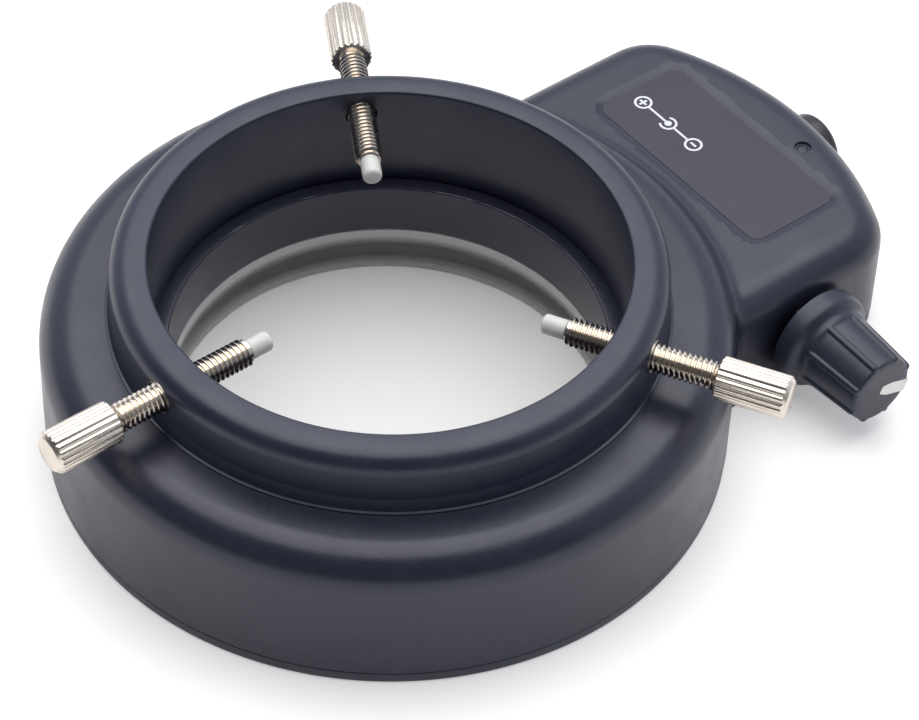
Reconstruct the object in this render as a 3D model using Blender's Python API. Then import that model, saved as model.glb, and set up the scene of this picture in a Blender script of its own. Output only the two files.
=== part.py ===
"""Ring light that clamps round the lower end of a microscope.

A lamp ring with a control box on one side. A collar on the ring takes three thumbscrews with
nylon tips. The box holds the dimmer, its knob, the driver board and the power socket.
Lengths are in metres, +Z is up, +X runs from the ring's axis to the control box.
"""
import math

import bmesh
import bpy
from mathutils import Matrix, Vector

# Fits
FIT_GAP = 0.0003
PRESS_GAP = 0.0001
RUNNING_GAP = 0.00006
CUT_MARGIN = 0.0010

# Lamp ring, one upper moulding with a raised collar
WALL = 0.0020
BORE_RADIUS = 0.0310
RING_WIDTH = 0.0144
COLLAR_RISE = 0.0086
LIP_REACH = 0.0045
LIP_THICKNESS = 0.0014
LIP_ROUND = 0.0009
COVE_DEPTH = 0.0006
COLLAR_FLARE = 0.0007
SLEEVE_WALL = 0.0032
SHOULDER_TOP = 0.0217
SHOULDER_CROWN = 0.0002
SHOULDER_ROUND = 0.00505
LEDGE_TOP = 0.0150
LEDGE_WIDTH = 0.0022
EDGE_BREAK = 0.0003

# Control box on the side of the ring
BOX_LENGTH = 0.0271
BOX_HALF_WIDTH = 0.0262
BOX_TOP = 0.0180
BOX_END_RADIUS = 0.0469
BOX_CORNER_RADIUS = 0.0088
BOX_EDGE_ROUND = 0.0045

# Label recess with sloping sides, and the round blind recess beside it
LABEL_NEAR_MARGIN = 0.0023
LABEL_FAR_MARGIN = 0.0037
LABEL_SIDE_MARGIN = 0.0040
LABEL_CORNER = 0.0016
LABEL_THICKNESS = 0.0003
RECESS_DEPTH = 0.0005
RECESS_SLOPE = 0.0012
DIMPLE_RADIUS = 0.0020
DIMPLE_DEPTH = 0.0008
DIMPLE_SETBACK = 0.0063
DIMPLE_Y = -0.0066

# Bottom cover and its screws
COVER_THICKNESS = 0.0015
COVER_INSET = 0.0001
COVER_CHAMFER = 0.0003
BOSS_RADIUS = 0.0022
BOSS_INSET = 0.0025
SCREW_RADIUS = 0.00085
SCREW_HEAD_RADIUS = 0.0014
SCREW_HEAD_HEIGHT = 0.0006
SCREW_HEAD_SINK = 0.0001
SCREW_LENGTH = 0.0070
BOX_BOSS_INSET = 0.0075
BOX_BOSS_BACK = 0.0115

# Clear window and lamp board
WINDOW_RISE = 0.0071
WINDOW_PLATE = 0.0015
WINDOW_FLANGE = 0.0012
FLANGE_THICKNESS = 0.0008
LAMP_ROW_GAP = 0.0041
LAMP_RADIUS = 0.0025
LAMP_CLEARANCE = 0.0006
LAMP_DOME = 0.0022
BOARD_THICKNESS = 0.0015

# Thumbscrews
CLAMP_DROP = 0.00385
SCREW_TOTAL = 0.0332
THREAD_RADIUS = 0.0019
HEAD_RADIUS = 0.00285
HEAD_LENGTH = 0.0096
HEAD_CHAMFER = 0.0005
HEAD_DISC = 0.0009
RIB_DEPTH = 0.00028
TIP_RADIUS = 0.0014
TIP_LENGTH = 0.0033
TIP_ROUND = 0.0005
TIP_INSETS = (0.0100, 0.01255, 0.01185)
STEM_RADIUS = 0.0008
STEM_LENGTH = 0.0022
INSERT_RADIUS = 0.0024
INSERT_BACK = 0.0013
INSERT_LENGTH = 0.0033

# Dimmer, with the knob's axis square to the side of the box
KNOB_SETBACK = 0.0221
KNOB_DROP = 0.0002
KNOB_GAP = 0.0015
SKIRT_RADIUS = 0.0071
SKIRT_HEIGHT = 0.0031
SKIRT_CONE = 0.0014
CAP_BASE_RADIUS = 0.0059
CAP_FRONT_RADIUS = 0.0053
KNOB_HEIGHT = 0.0135
FLUTE_DEPTH = 0.00045
KNOB_ROUND = 0.0004
KNOB_RECESS_DEPTH = 0.0021
POINTER_WIDTH = 0.0020
POINTER_DEPTH = 0.0012
SHAFT_RADIUS = 0.0030
SHAFT_SINK = 0.0034
BUSHING_RADIUS = 0.0035
BUSHING_LENGTH = 0.0053
NUT_HEIGHT = 0.0017
NUT_WIDTH = 0.0090
POT_WIDTH = 0.0100
POT_HEIGHT = 0.0100
POT_DEPTH = 0.0066

# Power socket in the end wall
SOCKET_Y = -0.0003
SOCKET_LIFT = 0.0001
SOCKET_FLANGE_RADIUS = 0.00475
SOCKET_FLANGE_HEIGHT = 0.0030
SOCKET_FLANGE_ROUND = 0.0012
SOCKET_BARREL_RADIUS = 0.0038
SOCKET_BARREL_LENGTH = 0.0104
SOCKET_MOUTH_RADIUS = 0.0029
SOCKET_FLOOR = 0.0030
SOCKET_PIN_RADIUS = 0.00105
SOCKET_PIN_BACK = 0.0010
SOCKET_NUT_WIDTH = 0.0100
SOCKET_NUT_HEIGHT = 0.0020

# Driver board in the box
DRIVER_LENGTH = 0.0130
DRIVER_SETBACK = 0.0185
DRIVER_MARGIN = 0.0023
DRIVER_THICKNESS = 0.0012
POST_RADIUS = 0.0020
POST_HEIGHT = 0.0012
POST_INSET = 0.0025
COIL_RADIUS = 0.0036
COIL_HEIGHT = 0.0048
CAN_RADIUS = 0.0032
CAN_HEIGHT = 0.0078
CHIP_LENGTH = 0.0050
CHIP_WIDTH = 0.0040
CHIP_HEIGHT = 0.0016
PART_SPACING = 0.0095

# Shares, counts and angles
ROOT_SHARE = 0.75
RING_STEPS = 54
HIDDEN_RING_STEPS = 44
LAMP_STEPS = 6
ROUND_STEPS = 14
SMALL_STEPS = 10
KNOB_STEPS = 20
ARC_STEPS = 4
HIDDEN_STEPS = 2
LAMPS_PER_ROW = 28
RIB_COUNT = 20
FLUTE_COUNT = 8
FLUTE_STEPS = 5
HEX_SIDES = 6
SCREW_ANGLES = (-60.0, 60.0, 180.0)
RING_BOSS_ANGLES = (90.0, 180.0, 270.0)
FLUTE_START = 18.0
POINTER_ANGLE = -20.0
SHARP_ANGLE = 32.0

# Sizes that follow from the ones above
RING_RADIUS = BORE_RADIUS + RING_WIDTH
BOX_REACH = RING_RADIUS + BOX_LENGTH
LIP_RADIUS = BORE_RADIUS + LIP_REACH
COLLAR_FOOT_RADIUS = LIP_RADIUS + COLLAR_FLARE
SLEEVE_RADIUS = BORE_RADIUS + SLEEVE_WALL
POCKET_RADIUS = SLEEVE_RADIUS + FIT_GAP
THROAT_RADIUS = BORE_RADIUS - LEDGE_WIDTH
COLLAR_SEAT = SHOULDER_TOP + SHOULDER_CROWN
COLLAR_TOP = COLLAR_SEAT + COLLAR_RISE
CLAMP_HEIGHT = COLLAR_TOP - CLAMP_DROP
HOUSING_BASE = COVER_THICKNESS + FIT_GAP
RING_BOSS_TOP = SHOULDER_TOP - SHOULDER_ROUND
BOX_BOSS_TOP = BOX_TOP - WALL + CUT_MARGIN
BOX_MIDDLE = (HOUSING_BASE + BOX_TOP - WALL) / 2
BOX_ROOT = POCKET_RADIUS + WALL * ROOT_SHARE
BOSS_CIRCLE = RING_RADIUS - BOSS_INSET
WINDOW_BASE = FIT_GAP
WINDOW_TOP_FACE = WINDOW_BASE + WINDOW_PLATE + FLANGE_THICKNESS
BOSS_BASE = WINDOW_TOP_FACE + FIT_GAP
COVER_HOLE_RADIUS = BOSS_CIRCLE - SCREW_HEAD_RADIUS - FIT_GAP - COVER_CHAMFER - PRESS_GAP
WINDOW_RADIUS = COVER_HOLE_RADIUS - FIT_GAP
BOARD_RADIUS = BOSS_CIRCLE - BOSS_RADIUS - FIT_GAP
BOARD_TOP = LEDGE_TOP - WALL - FIT_GAP
BOARD_BASE = BOARD_TOP - BOARD_THICKNESS
BOARD_INNER = THROAT_RADIUS + WALL + FIT_GAP
LAMP_LENGTH = BOARD_BASE - WINDOW_TOP_FACE - LAMP_CLEARANCE
OUTER_ROW = BOARD_RADIUS - LAMP_RADIUS
LAMP_ROWS = 1 + math.floor((OUTER_ROW - LAMP_RADIUS - BOARD_INNER) / LAMP_ROW_GAP)
LABEL_LENGTH = BOX_LENGTH - BOX_EDGE_ROUND - LABEL_NEAR_MARGIN - LABEL_FAR_MARGIN - 2 * RECESS_SLOPE
LABEL_WIDTH = 2 * (BOX_HALF_WIDTH - BOX_EDGE_ROUND - LABEL_SIDE_MARGIN - RECESS_SLOPE)
LABEL_CENTRE = RING_RADIUS + LABEL_NEAR_MARGIN + RECESS_SLOPE + LABEL_LENGTH / 2
DIMPLE_X = BOX_REACH - DIMPLE_SETBACK
TIP_REACHES = [BORE_RADIUS - inset for inset in TIP_INSETS]
KNOB_X = BOX_REACH - KNOB_SETBACK
KNOB_Z = BOX_MIDDLE - KNOB_DROP
SOCKET_Z = BOX_MIDDLE + SOCKET_LIFT
SOCKET_FACE = BOX_REACH + FIT_GAP + SOCKET_FLANGE_HEIGHT
KNOB_BACK = BOX_HALF_WIDTH + KNOB_GAP
KNOB_FRONT = KNOB_BACK + KNOB_HEIGHT
POT_FACE = BOX_HALF_WIDTH - WALL - FIT_GAP
BOX_BOSS_Y = BOX_HALF_WIDTH - BOX_BOSS_INSET
DRIVER_X = BOX_REACH - DRIVER_SETBACK
DRIVER_WIDTH = 2 * (BOX_BOSS_Y - BOSS_RADIUS - DRIVER_MARGIN)
DRIVER_BASE = COVER_THICKNESS + POST_HEIGHT + FIT_GAP
DRIVER_TOP = DRIVER_BASE + DRIVER_THICKNESS


def screw_reach(index, sign_x, sign_y):
    """How far a thumbscrew's outer end reaches along one signed direction."""
    angle = math.radians(SCREW_ANGLES[index])
    along = math.cos(angle) * sign_x + math.sin(angle) * sign_y
    across = abs(math.sin(angle) * sign_x) + abs(math.cos(angle) * sign_y)
    return (TIP_REACHES[index] + SCREW_TOTAL) * along + HEAD_RADIUS * across


def outer_reach(sign_x, sign_y, fixed_reach):
    """Furthest extent of the object along one signed direction."""
    reaches = [fixed_reach]
    for index in range(len(SCREW_ANGLES)):
        reaches.append(screw_reach(index, sign_x, sign_y))
    return max(reaches)


def ring_centre():
    """Where the ring's axis stands when the origin is under the middle of the whole object."""
    right = outer_reach(1, 0, SOCKET_FACE)
    left = outer_reach(-1, 0, RING_RADIUS)
    back = outer_reach(0, 1, RING_RADIUS)
    front = outer_reach(0, -1, max(RING_RADIUS, KNOB_FRONT))
    return Vector(((left - right) / 2, (front - back) / 2, 0))


CENTRE = ring_centre()


def clear_scene():
    """Remove everything that a new file starts with."""
    for obj in list(bpy.data.objects):
        bpy.data.objects.remove(obj, do_unlink=True)


def make_collection(name):
    """Add a collection to the scene."""
    made = bpy.data.collections.new(name)
    bpy.context.scene.collection.children.link(made)
    return made


clear_scene()
PARTS = make_collection("microscope_ring_light")
CUTTERS = make_collection("cutters")


def make_material(name, color, roughness, metallic=0.0, alpha=1.0):
    """Plain Principled material for one node."""
    material = bpy.data.materials.new(name)
    material.use_nodes = True
    shader = material.node_tree.nodes["Principled BSDF"]
    shader.inputs["Base Color"].default_value = (*color, 1.0)
    shader.inputs["Roughness"].default_value = roughness
    shader.inputs["Metallic"].default_value = metallic
    shader.inputs["Alpha"].default_value = alpha
    material.diffuse_color = (*color, alpha)
    return material


BODY_GREY = (0.065, 0.070, 0.090)
DARK_GREY = (0.030, 0.032, 0.040)
NICKEL = (0.62, 0.59, 0.55)
BRASS = (0.60, 0.45, 0.20)
NYLON = (0.80, 0.80, 0.78)
BOARD_GREEN = (0.03, 0.18, 0.08)
COPPER = (0.55, 0.27, 0.13)


def arc(centre, radius, start, end, steps=ARC_STEPS):
    """Points of an arc between two angles in degrees, both ends included."""
    points = []
    for step in range(steps + 1):
        angle = math.radians(start + (end - start) * step / steps)
        x = centre[0] + radius * math.cos(angle)
        y = centre[1] + radius * math.sin(angle)
        points.append((x, y))
    return points


def finish_mesh(name, bm, collection, placement):
    """Turn a bmesh into an object, with faces out and round pieces shaded smooth."""
    bmesh.ops.remove_doubles(bm, verts=bm.verts, dist=PRESS_GAP / 100)
    bmesh.ops.recalc_face_normals(bm, faces=bm.faces)
    mesh = bpy.data.meshes.new(name)
    bm.to_mesh(mesh)
    bm.free()
    if signed_volume(mesh) < 0:
        mesh.flip_normals()
    mesh.shade_smooth()
    mesh.set_sharp_from_angle(angle=math.radians(SHARP_ANGLE))
    obj = bpy.data.objects.new(name, mesh)
    obj.matrix_world = Matrix.Translation(CENTRE) @ placement
    collection.objects.link(obj)
    if collection == CUTTERS:
        obj.hide_render = True
        obj.display_type = "WIRE"
    return obj


def signed_volume(mesh):
    """Volume of a closed mesh, negative where its faces point in."""
    mesh.calc_loop_triangles()
    total = 0.0
    for triangle in mesh.loop_triangles:
        a, b, c = (mesh.vertices[index].co for index in triangle.vertices)
        total += a.dot(b.cross(c))
    return total


def revolve(name, profile, steps, collection=PARTS, placement=Matrix.Identity(4), closed=True):
    """Spin a profile of radius and height about Z. An open one starts and ends on the axis."""
    bm = bmesh.new()
    verts = [bm.verts.new((radius, 0, height)) for radius, height in profile]
    edges = [bm.edges.new(pair) for pair in zip(verts, verts[1:])]
    if closed:
        edges.append(bm.edges.new((verts[-1], verts[0])))
    bmesh.ops.spin(
        bm,
        geom=verts + edges,
        cent=(0, 0, 0),
        axis=(0, 0, 1),
        angle=math.tau,
        steps=steps,
        use_merge=True,
    )
    return finish_mesh(name, bm, collection, placement)


def loft(name, rings, collection=PARTS, placement=Matrix.Identity(4)):
    """Skin a stack of rings that all have the same number of points, and close both ends."""
    bm = bmesh.new()
    loops = [[bm.verts.new(point) for point in ring] for ring in rings]
    for lower, upper in zip(loops, loops[1:]):
        count = len(lower)
        for index in range(count):
            after = (index + 1) % count
            bm.faces.new((lower[index], lower[after], upper[after], upper[index]))
    bm.faces.new(loops[0][::-1])
    bm.faces.new(loops[-1])
    return finish_mesh(name, bm, collection, placement)


def prism(name, outline, base, top, collection=PARTS, placement=Matrix.Identity(4)):
    """Straight prism on a flat outline."""
    rings = [[(x, y, height) for x, y in outline] for height in (base, top)]
    return loft(name, rings, collection, placement)


def cylinder(name, radius, base, top, steps, collection=PARTS, placement=Matrix.Identity(4)):
    """Solid cylinder on the local Z axis."""
    outline = arc((0, 0), radius, 0, 360, steps)[:-1]
    return prism(name, outline, base, top, collection, placement)


def tube(name, outer, inner, base, top, steps, placement):
    """Plain bush on the local Z axis."""
    profile = [(inner, base), (outer, base), (outer, top), (inner, top)]
    return revolve(name, profile, steps, PARTS, placement)


def combine(target, tool, operation):
    """Add an exact Boolean of the tool to the target."""
    modifier = target.modifiers.new(operation.lower() + "_" + tool.name, "BOOLEAN")
    modifier.operation = operation
    modifier.solver = "EXACT"
    modifier.object = tool


def cut(target, tool):
    """Take the tool's volume away from the target."""
    combine(target, tool, "DIFFERENCE")


def fuse(target, tool):
    """Add the tool's volume to the target."""
    combine(target, tool, "UNION")


def paint(obj, material):
    """Give a node its own material."""
    obj.data.materials.clear()
    obj.data.materials.append(material)
    return obj


def at(x, y, z):
    """Placement by a plain shift from the ring's axis."""
    return Matrix.Translation(Vector((x, y, z)))


def polar(radius, degrees, height=0.0):
    """Placement on a circle about the ring's axis, with local X pointing outwards."""
    angle = math.radians(degrees)
    turn = Matrix.Rotation(angle, 4, "Z")
    return turn @ at(radius, 0, height)


def facing_out(degrees, height):
    """Placement on the ring's axis at a height, with local Z pointing outwards."""
    turn = Matrix.Rotation(math.radians(degrees), 4, "Z")
    tilt = Matrix.Rotation(math.radians(90), 4, "Y")
    return at(0, 0, height) @ turn @ tilt


def knob_axis():
    """Placement on the dimmer's axis, with local Z pointing out of the side of the box."""
    return at(KNOB_X, 0, KNOB_Z) @ Matrix.Rotation(math.radians(90), 4, "X")


def socket_axis():
    """Placement on the power socket's axis, with local Z pointing out of the end of the box."""
    return at(0, SOCKET_Y, SOCKET_Z) @ Matrix.Rotation(math.radians(90), 4, "Y")


def box_outline(inset, root):
    """Outline of the control box: straight sides, rounded corners and a bowed end."""
    centre_x = BOX_REACH - BOX_END_RADIUS
    half_width = BOX_HALF_WIDTH - inset
    end_radius = BOX_END_RADIUS - inset
    corner = BOX_CORNER_RADIUS - inset
    span = BOX_END_RADIUS - BOX_CORNER_RADIUS
    corner_y = BOX_HALF_WIDTH - BOX_CORNER_RADIUS
    lean = math.degrees(math.asin(corner_y / span))
    corner_x = centre_x + span * math.cos(math.radians(lean))
    outline = [(root, -half_width)]
    outline += arc((corner_x, -corner_y), corner, -90, -lean)
    outline += arc((centre_x, 0), end_radius, -lean, lean, ARC_STEPS * 3)[1:-1]
    outline += arc((corner_x, corner_y), corner, lean, 90)
    outline.append((root, half_width))
    return outline


def round_rectangle(length, width, corner):
    """Rectangle about the origin with rounded corners."""
    x = length / 2 - corner
    y = width / 2 - corner
    outline = arc((x, y), corner, 0, 90)
    outline += arc((-x, y), corner, 90, 180)
    outline += arc((-x, -y), corner, 180, 270)
    outline += arc((x, -y), corner, 270, 360)
    return outline


def hexagon(width):
    """Hexagon with the given distance across its flats."""
    radius = width / 2 / math.cos(math.radians(180 / HEX_SIDES))
    return arc((0, 0), radius, 0, 360, HEX_SIDES)[:-1]


def mounting_collar():
    """Collar round the microscope: lip, cove, flared wall and a sleeve down into the ring."""
    foot = COLLAR_SEAT + FIT_GAP
    lip_under = COLLAR_TOP - LIP_THICKNESS
    cove_low = lip_under - 2 * COVE_DEPTH
    profile = [(BORE_RADIUS, LEDGE_TOP)]
    profile.append((SLEEVE_RADIUS, LEDGE_TOP))
    profile.append((SLEEVE_RADIUS, foot))
    profile.append((COLLAR_FOOT_RADIUS, foot))
    profile.append((LIP_RADIUS, cove_low))
    profile += arc((LIP_RADIUS, cove_low + COVE_DEPTH), COVE_DEPTH, 210, 150, 2)
    profile.append((LIP_RADIUS, lip_under))
    centre = (LIP_RADIUS - LIP_ROUND, COLLAR_TOP - LIP_ROUND)
    profile += arc(centre, LIP_ROUND, 0, 90, HIDDEN_STEPS)
    profile.append((BORE_RADIUS + EDGE_BREAK, COLLAR_TOP))
    profile.append((BORE_RADIUS, COLLAR_TOP - EDGE_BREAK))
    collar = revolve("mounting_collar", profile, RING_STEPS)
    for number, degrees in enumerate(SCREW_ANGLES, 1):
        radius = INSERT_RADIUS + PRESS_GAP
        start = BORE_RADIUS - 2 * CUT_MARGIN
        end = COLLAR_FOOT_RADIUS + CUT_MARGIN
        name = "insert_hole_" + str(number)
        placement = facing_out(degrees, CLAMP_HEIGHT)
        cut(collar, cylinder(name, radius, start, end, ROUND_STEPS, CUTTERS, placement))
    return collar


def ring_form():
    """Solid form of the ring, with its pocket for the collar and its throat."""
    profile = [(RING_RADIUS, HOUSING_BASE)]
    centre = (RING_RADIUS - SHOULDER_ROUND, SHOULDER_TOP - SHOULDER_ROUND)
    profile += arc(centre, SHOULDER_ROUND, 0, 90, ARC_STEPS + 2)
    profile.append((COLLAR_FOOT_RADIUS, COLLAR_SEAT))
    profile.append((POCKET_RADIUS, COLLAR_SEAT))
    profile.append((POCKET_RADIUS, LEDGE_TOP - FIT_GAP))
    profile.append((BORE_RADIUS - FIT_GAP, LEDGE_TOP - FIT_GAP))
    profile.append((BORE_RADIUS - FIT_GAP, LEDGE_TOP))
    profile.append((THROAT_RADIUS, LEDGE_TOP))
    profile.append((THROAT_RADIUS, WINDOW_RISE + FIT_GAP))
    profile.append((THROAT_RADIUS + WALL + CUT_MARGIN, WINDOW_RISE + FIT_GAP))
    profile.append((THROAT_RADIUS + WALL + CUT_MARGIN, HOUSING_BASE))
    return revolve("upper_housing", profile, RING_STEPS)


def box_rings(inset, root, base, steps):
    """Levels of a box form: straight sides, then an upper edge rounded over."""
    reach = BOX_EDGE_ROUND - inset
    rings = [[(x, y, base) for x, y in box_outline(inset, root)]]
    for step in range(steps + 1):
        angle = math.radians(90 * step / steps)
        inward = inset + reach * (1 - math.cos(angle))
        height = BOX_TOP - BOX_EDGE_ROUND + reach * math.sin(angle)
        rings.append([(x, y, height) for x, y in box_outline(inward, root)])
    return rings


def box_form():
    """Solid form of the control box with its rounded upper edge."""
    return loft("box_form", box_rings(0, BOX_ROOT, HOUSING_BASE, ARC_STEPS + 1), CUTTERS)


def ring_cavity():
    """Space inside the ring for the lamp board."""
    low = HOUSING_BASE - CUT_MARGIN
    ceiling = LEDGE_TOP - WALL
    centre = (RING_RADIUS - SHOULDER_ROUND, SHOULDER_TOP - SHOULDER_ROUND)
    profile = [(RING_RADIUS - WALL, low)]
    profile += arc(centre, SHOULDER_ROUND - WALL, 0, 90, HIDDEN_STEPS)
    profile.append((POCKET_RADIUS + WALL, SHOULDER_TOP - WALL))
    profile.append((POCKET_RADIUS + WALL, ceiling))
    profile.append((THROAT_RADIUS + WALL, ceiling))
    profile.append((THROAT_RADIUS + WALL, low))
    return revolve("ring_cavity", profile, RING_STEPS, CUTTERS)


def box_cavity():
    """Space inside the control box, one wall in from its form."""
    root = POCKET_RADIUS + WALL + CUT_MARGIN
    rings = box_rings(WALL, root, HOUSING_BASE - CUT_MARGIN, HIDDEN_STEPS)
    return loft("box_cavity", rings, CUTTERS)


def boss_places():
    """Where the cover's screws go: three on the ring and two in the box."""
    places = [polar(BOSS_CIRCLE, degrees) for degrees in RING_BOSS_ANGLES]
    places.append(at(BOX_REACH - BOX_BOSS_BACK, -BOX_BOSS_Y, 0))
    places.append(at(BOX_REACH - BOX_BOSS_BACK, BOX_BOSS_Y, 0))
    return places


def add_bosses(housing):
    """Screw bosses that hang from the housing's ceiling, and their pilot holes."""
    hole_top = BOSS_BASE + SCREW_LENGTH + FIT_GAP
    for number, place in enumerate(boss_places(), 1):
        name = "boss_" + str(number)
        top = RING_BOSS_TOP if number <= len(RING_BOSS_ANGLES) else BOX_BOSS_TOP
        boss = cylinder(name, BOSS_RADIUS, BOSS_BASE, top, SMALL_STEPS, CUTTERS, place)
        fuse(housing, boss)
    for number, place in enumerate(boss_places(), 1):
        name = "pilot_hole_" + str(number)
        radius = SCREW_RADIUS + FIT_GAP
        low = HOUSING_BASE - CUT_MARGIN
        cut(housing, cylinder(name, radius, low, hole_top, LAMP_STEPS, CUTTERS, place))


def add_label_seat(housing):
    """Shallow recess with sloping sides that takes the label plate."""
    rings = []
    for spread, height in ((0, -RECESS_DEPTH), (RECESS_SLOPE, 0), (RECESS_SLOPE, CUT_MARGIN)):
        length = LABEL_LENGTH + 2 * spread
        width = LABEL_WIDTH + 2 * spread
        outline = round_rectangle(length, width, LABEL_CORNER + spread)
        rings.append([(x, y, height) for x, y in outline])
    cut(housing, loft("label_recess", rings, CUTTERS, at(LABEL_CENTRE, 0, BOX_TOP)))


def add_box_openings(housing):
    """Round blind recess in the top, and the holes for the dimmer and the power socket."""
    place = at(DIMPLE_X, DIMPLE_Y, BOX_TOP)
    dimple = cylinder("dimple", DIMPLE_RADIUS, -DIMPLE_DEPTH, CUT_MARGIN, ROUND_STEPS, CUTTERS, place)
    cut(housing, dimple)
    radius = BUSHING_RADIUS + FIT_GAP
    near = BOX_HALF_WIDTH - WALL - CUT_MARGIN
    far = BOX_HALF_WIDTH + CUT_MARGIN
    cut(housing, cylinder("dimmer_hole", radius, near, far, ROUND_STEPS, CUTTERS, knob_axis()))
    radius = SOCKET_BARREL_RADIUS + FIT_GAP
    near = BOX_REACH - 2 * WALL
    far = BOX_REACH + CUT_MARGIN
    cut(housing, cylinder("socket_hole", radius, near, far, ROUND_STEPS, CUTTERS, socket_axis()))


def upper_housing():
    """Upper moulding of the ring and the control box in one thin-walled shell."""
    housing = ring_form()
    fuse(housing, box_form())
    cut(housing, ring_cavity())
    cut(housing, box_cavity())
    add_bosses(housing)
    add_label_seat(housing)
    add_box_openings(housing)
    return housing


def post_places():
    """Corners of the driver board that rest on posts."""
    x = DRIVER_LENGTH / 2 - POST_INSET
    y = DRIVER_WIDTH / 2 - POST_INSET
    corners = ((x, y), (-x, y), (-x, -y), (x, -y))
    return [at(DRIVER_X + dx, dy, 0) for dx, dy in corners]


def cover_outline(inset):
    """Outline of the whole underside: the ring's edge run into the outline of the box."""
    radius = RING_RADIUS - inset
    join = math.degrees(math.asin((BOX_HALF_WIDTH - inset) / radius))
    outline = arc((0, 0), radius, join, 360 - join, RING_STEPS)
    return outline + box_outline(inset, 0)[1:-1]


def bottom_cover():
    """Flat cover under the ring and the box, with posts for the driver board."""
    rings = []
    for inset, height in ((COVER_CHAMFER, 0), (0, COVER_CHAMFER), (0, COVER_THICKNESS)):
        outline = cover_outline(COVER_INSET + inset)
        rings.append([(x, y, height) for x, y in outline])
    cover = loft("bottom_cover", rings)
    hole = cylinder("cover_hole", COVER_HOLE_RADIUS, -CUT_MARGIN, WALL, RING_STEPS, CUTTERS)
    cut(cover, hole)
    for number, place in enumerate(post_places(), 1):
        low = COVER_THICKNESS / 2
        high = COVER_THICKNESS + POST_HEIGHT
        name = "post_" + str(number)
        fuse(cover, cylinder(name, POST_RADIUS, low, high, SMALL_STEPS, CUTTERS, place))
    for number, place in enumerate(boss_places(), 1):
        cut_screw_hole(cover, number, place)
    return cover


def cut_screw_hole(cover, number, place):
    """Stepped hole through the cover for one screw and its head."""
    head = SCREW_HEAD_RADIUS + FIT_GAP
    shank = SCREW_RADIUS + FIT_GAP
    step = SCREW_HEAD_SINK + SCREW_HEAD_HEIGHT + FIT_GAP
    low = -CUT_MARGIN
    high = COVER_THICKNESS + CUT_MARGIN
    profile = [(0, low), (head, low), (head, step), (shank, step), (shank, high), (0, high)]
    name = "cover_screw_hole_" + str(number)
    cut(cover, revolve(name, profile, SMALL_STEPS, CUTTERS, place, closed=False))


def housing_screws():
    """Small screws that hold the bottom cover."""
    low = SCREW_HEAD_SINK
    neck = low + SCREW_HEAD_HEIGHT
    end = neck + SCREW_LENGTH
    profile = [(0, low), (SCREW_HEAD_RADIUS, low), (SCREW_HEAD_RADIUS, neck)]
    profile += [(SCREW_RADIUS, neck), (SCREW_RADIUS, end - SCREW_RADIUS / 2)]
    profile += [(SCREW_RADIUS / 2, end), (0, end)]
    made = []
    for number, place in enumerate(boss_places(), 1):
        name = "housing_screw_" + str(number)
        made.append(revolve(name, profile, LAMP_STEPS, PARTS, place, closed=False))
    return made


def led_window():
    """Clear ring under the lamps, with an inner wall that lines the throat and a rim flange."""
    inner = THROAT_RADIUS
    flange_base = WINDOW_BASE + WINDOW_PLATE
    flange_top = WINDOW_TOP_FACE
    profile = [(inner, WINDOW_BASE), (WINDOW_RADIUS, WINDOW_BASE)]
    profile += [(WINDOW_RADIUS, flange_base), (WINDOW_RADIUS + WINDOW_FLANGE, flange_base)]
    profile += [(WINDOW_RADIUS + WINDOW_FLANGE, flange_top)]
    profile += [(inner + WINDOW_PLATE, flange_top), (inner + WINDOW_PLATE, WINDOW_RISE)]
    profile += [(inner, WINDOW_RISE)]
    return revolve("led_window", profile, HIDDEN_RING_STEPS)


def add_lamp(bm, place):
    """One domed lamp that starts inside the board and points down."""
    levels = [(LAMP_RADIUS, BOARD_BASE + BOARD_THICKNESS / 2)]
    levels.append((LAMP_RADIUS, BOARD_BASE - LAMP_LENGTH + LAMP_DOME))
    levels.append((LAMP_RADIUS / math.sqrt(2), BOARD_BASE - LAMP_LENGTH + LAMP_DOME / 4))
    tip = bm.verts.new(place @ Vector((0, 0, BOARD_BASE - LAMP_LENGTH)))
    loops = []
    for radius, height in levels:
        ring = arc((0, 0), radius, 0, 360, LAMP_STEPS)[:-1]
        loops.append([bm.verts.new(place @ Vector((x, y, height))) for x, y in ring])
    for upper, lower in zip(loops, loops[1:]):
        for index in range(LAMP_STEPS):
            after = (index + 1) % LAMP_STEPS
            bm.faces.new((upper[index], upper[after], lower[after], lower[index]))
    for index in range(LAMP_STEPS):
        bm.faces.new((loops[-1][index], loops[-1][(index + 1) % LAMP_STEPS], tip))
    bm.faces.new(loops[0])


def led_board():
    """Ring-shaped board with staggered rows of domed lamps, as many as its width takes."""
    profile = [(BOARD_INNER, BOARD_BASE), (BOARD_RADIUS, BOARD_BASE)]
    profile += [(BOARD_RADIUS, BOARD_TOP), (BOARD_INNER, BOARD_TOP)]
    board = revolve("led_board", profile, HIDDEN_RING_STEPS)
    bm = bmesh.new()
    pitch = 360 / LAMPS_PER_ROW
    for row in range(LAMP_ROWS):
        for index in range(LAMPS_PER_ROW):
            add_lamp(bm, polar(OUTER_ROW - row * LAMP_ROW_GAP, (index + (row + 1) / 2) * pitch))
    fuse(board, finish_mesh("lamps", bm, CUTTERS, Matrix.Identity(4)))
    return board


def ribbed_ring(radius, depth, height):
    """One level of the thumbscrew's head, with straight ribs of the given depth."""
    count = RIB_COUNT * 2
    ring = []
    for index in range(count):
        angle = math.tau * index / count
        reach = radius - depth * (index % 2)
        ring.append((reach * math.cos(angle), reach * math.sin(angle), height))
    return ring


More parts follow.
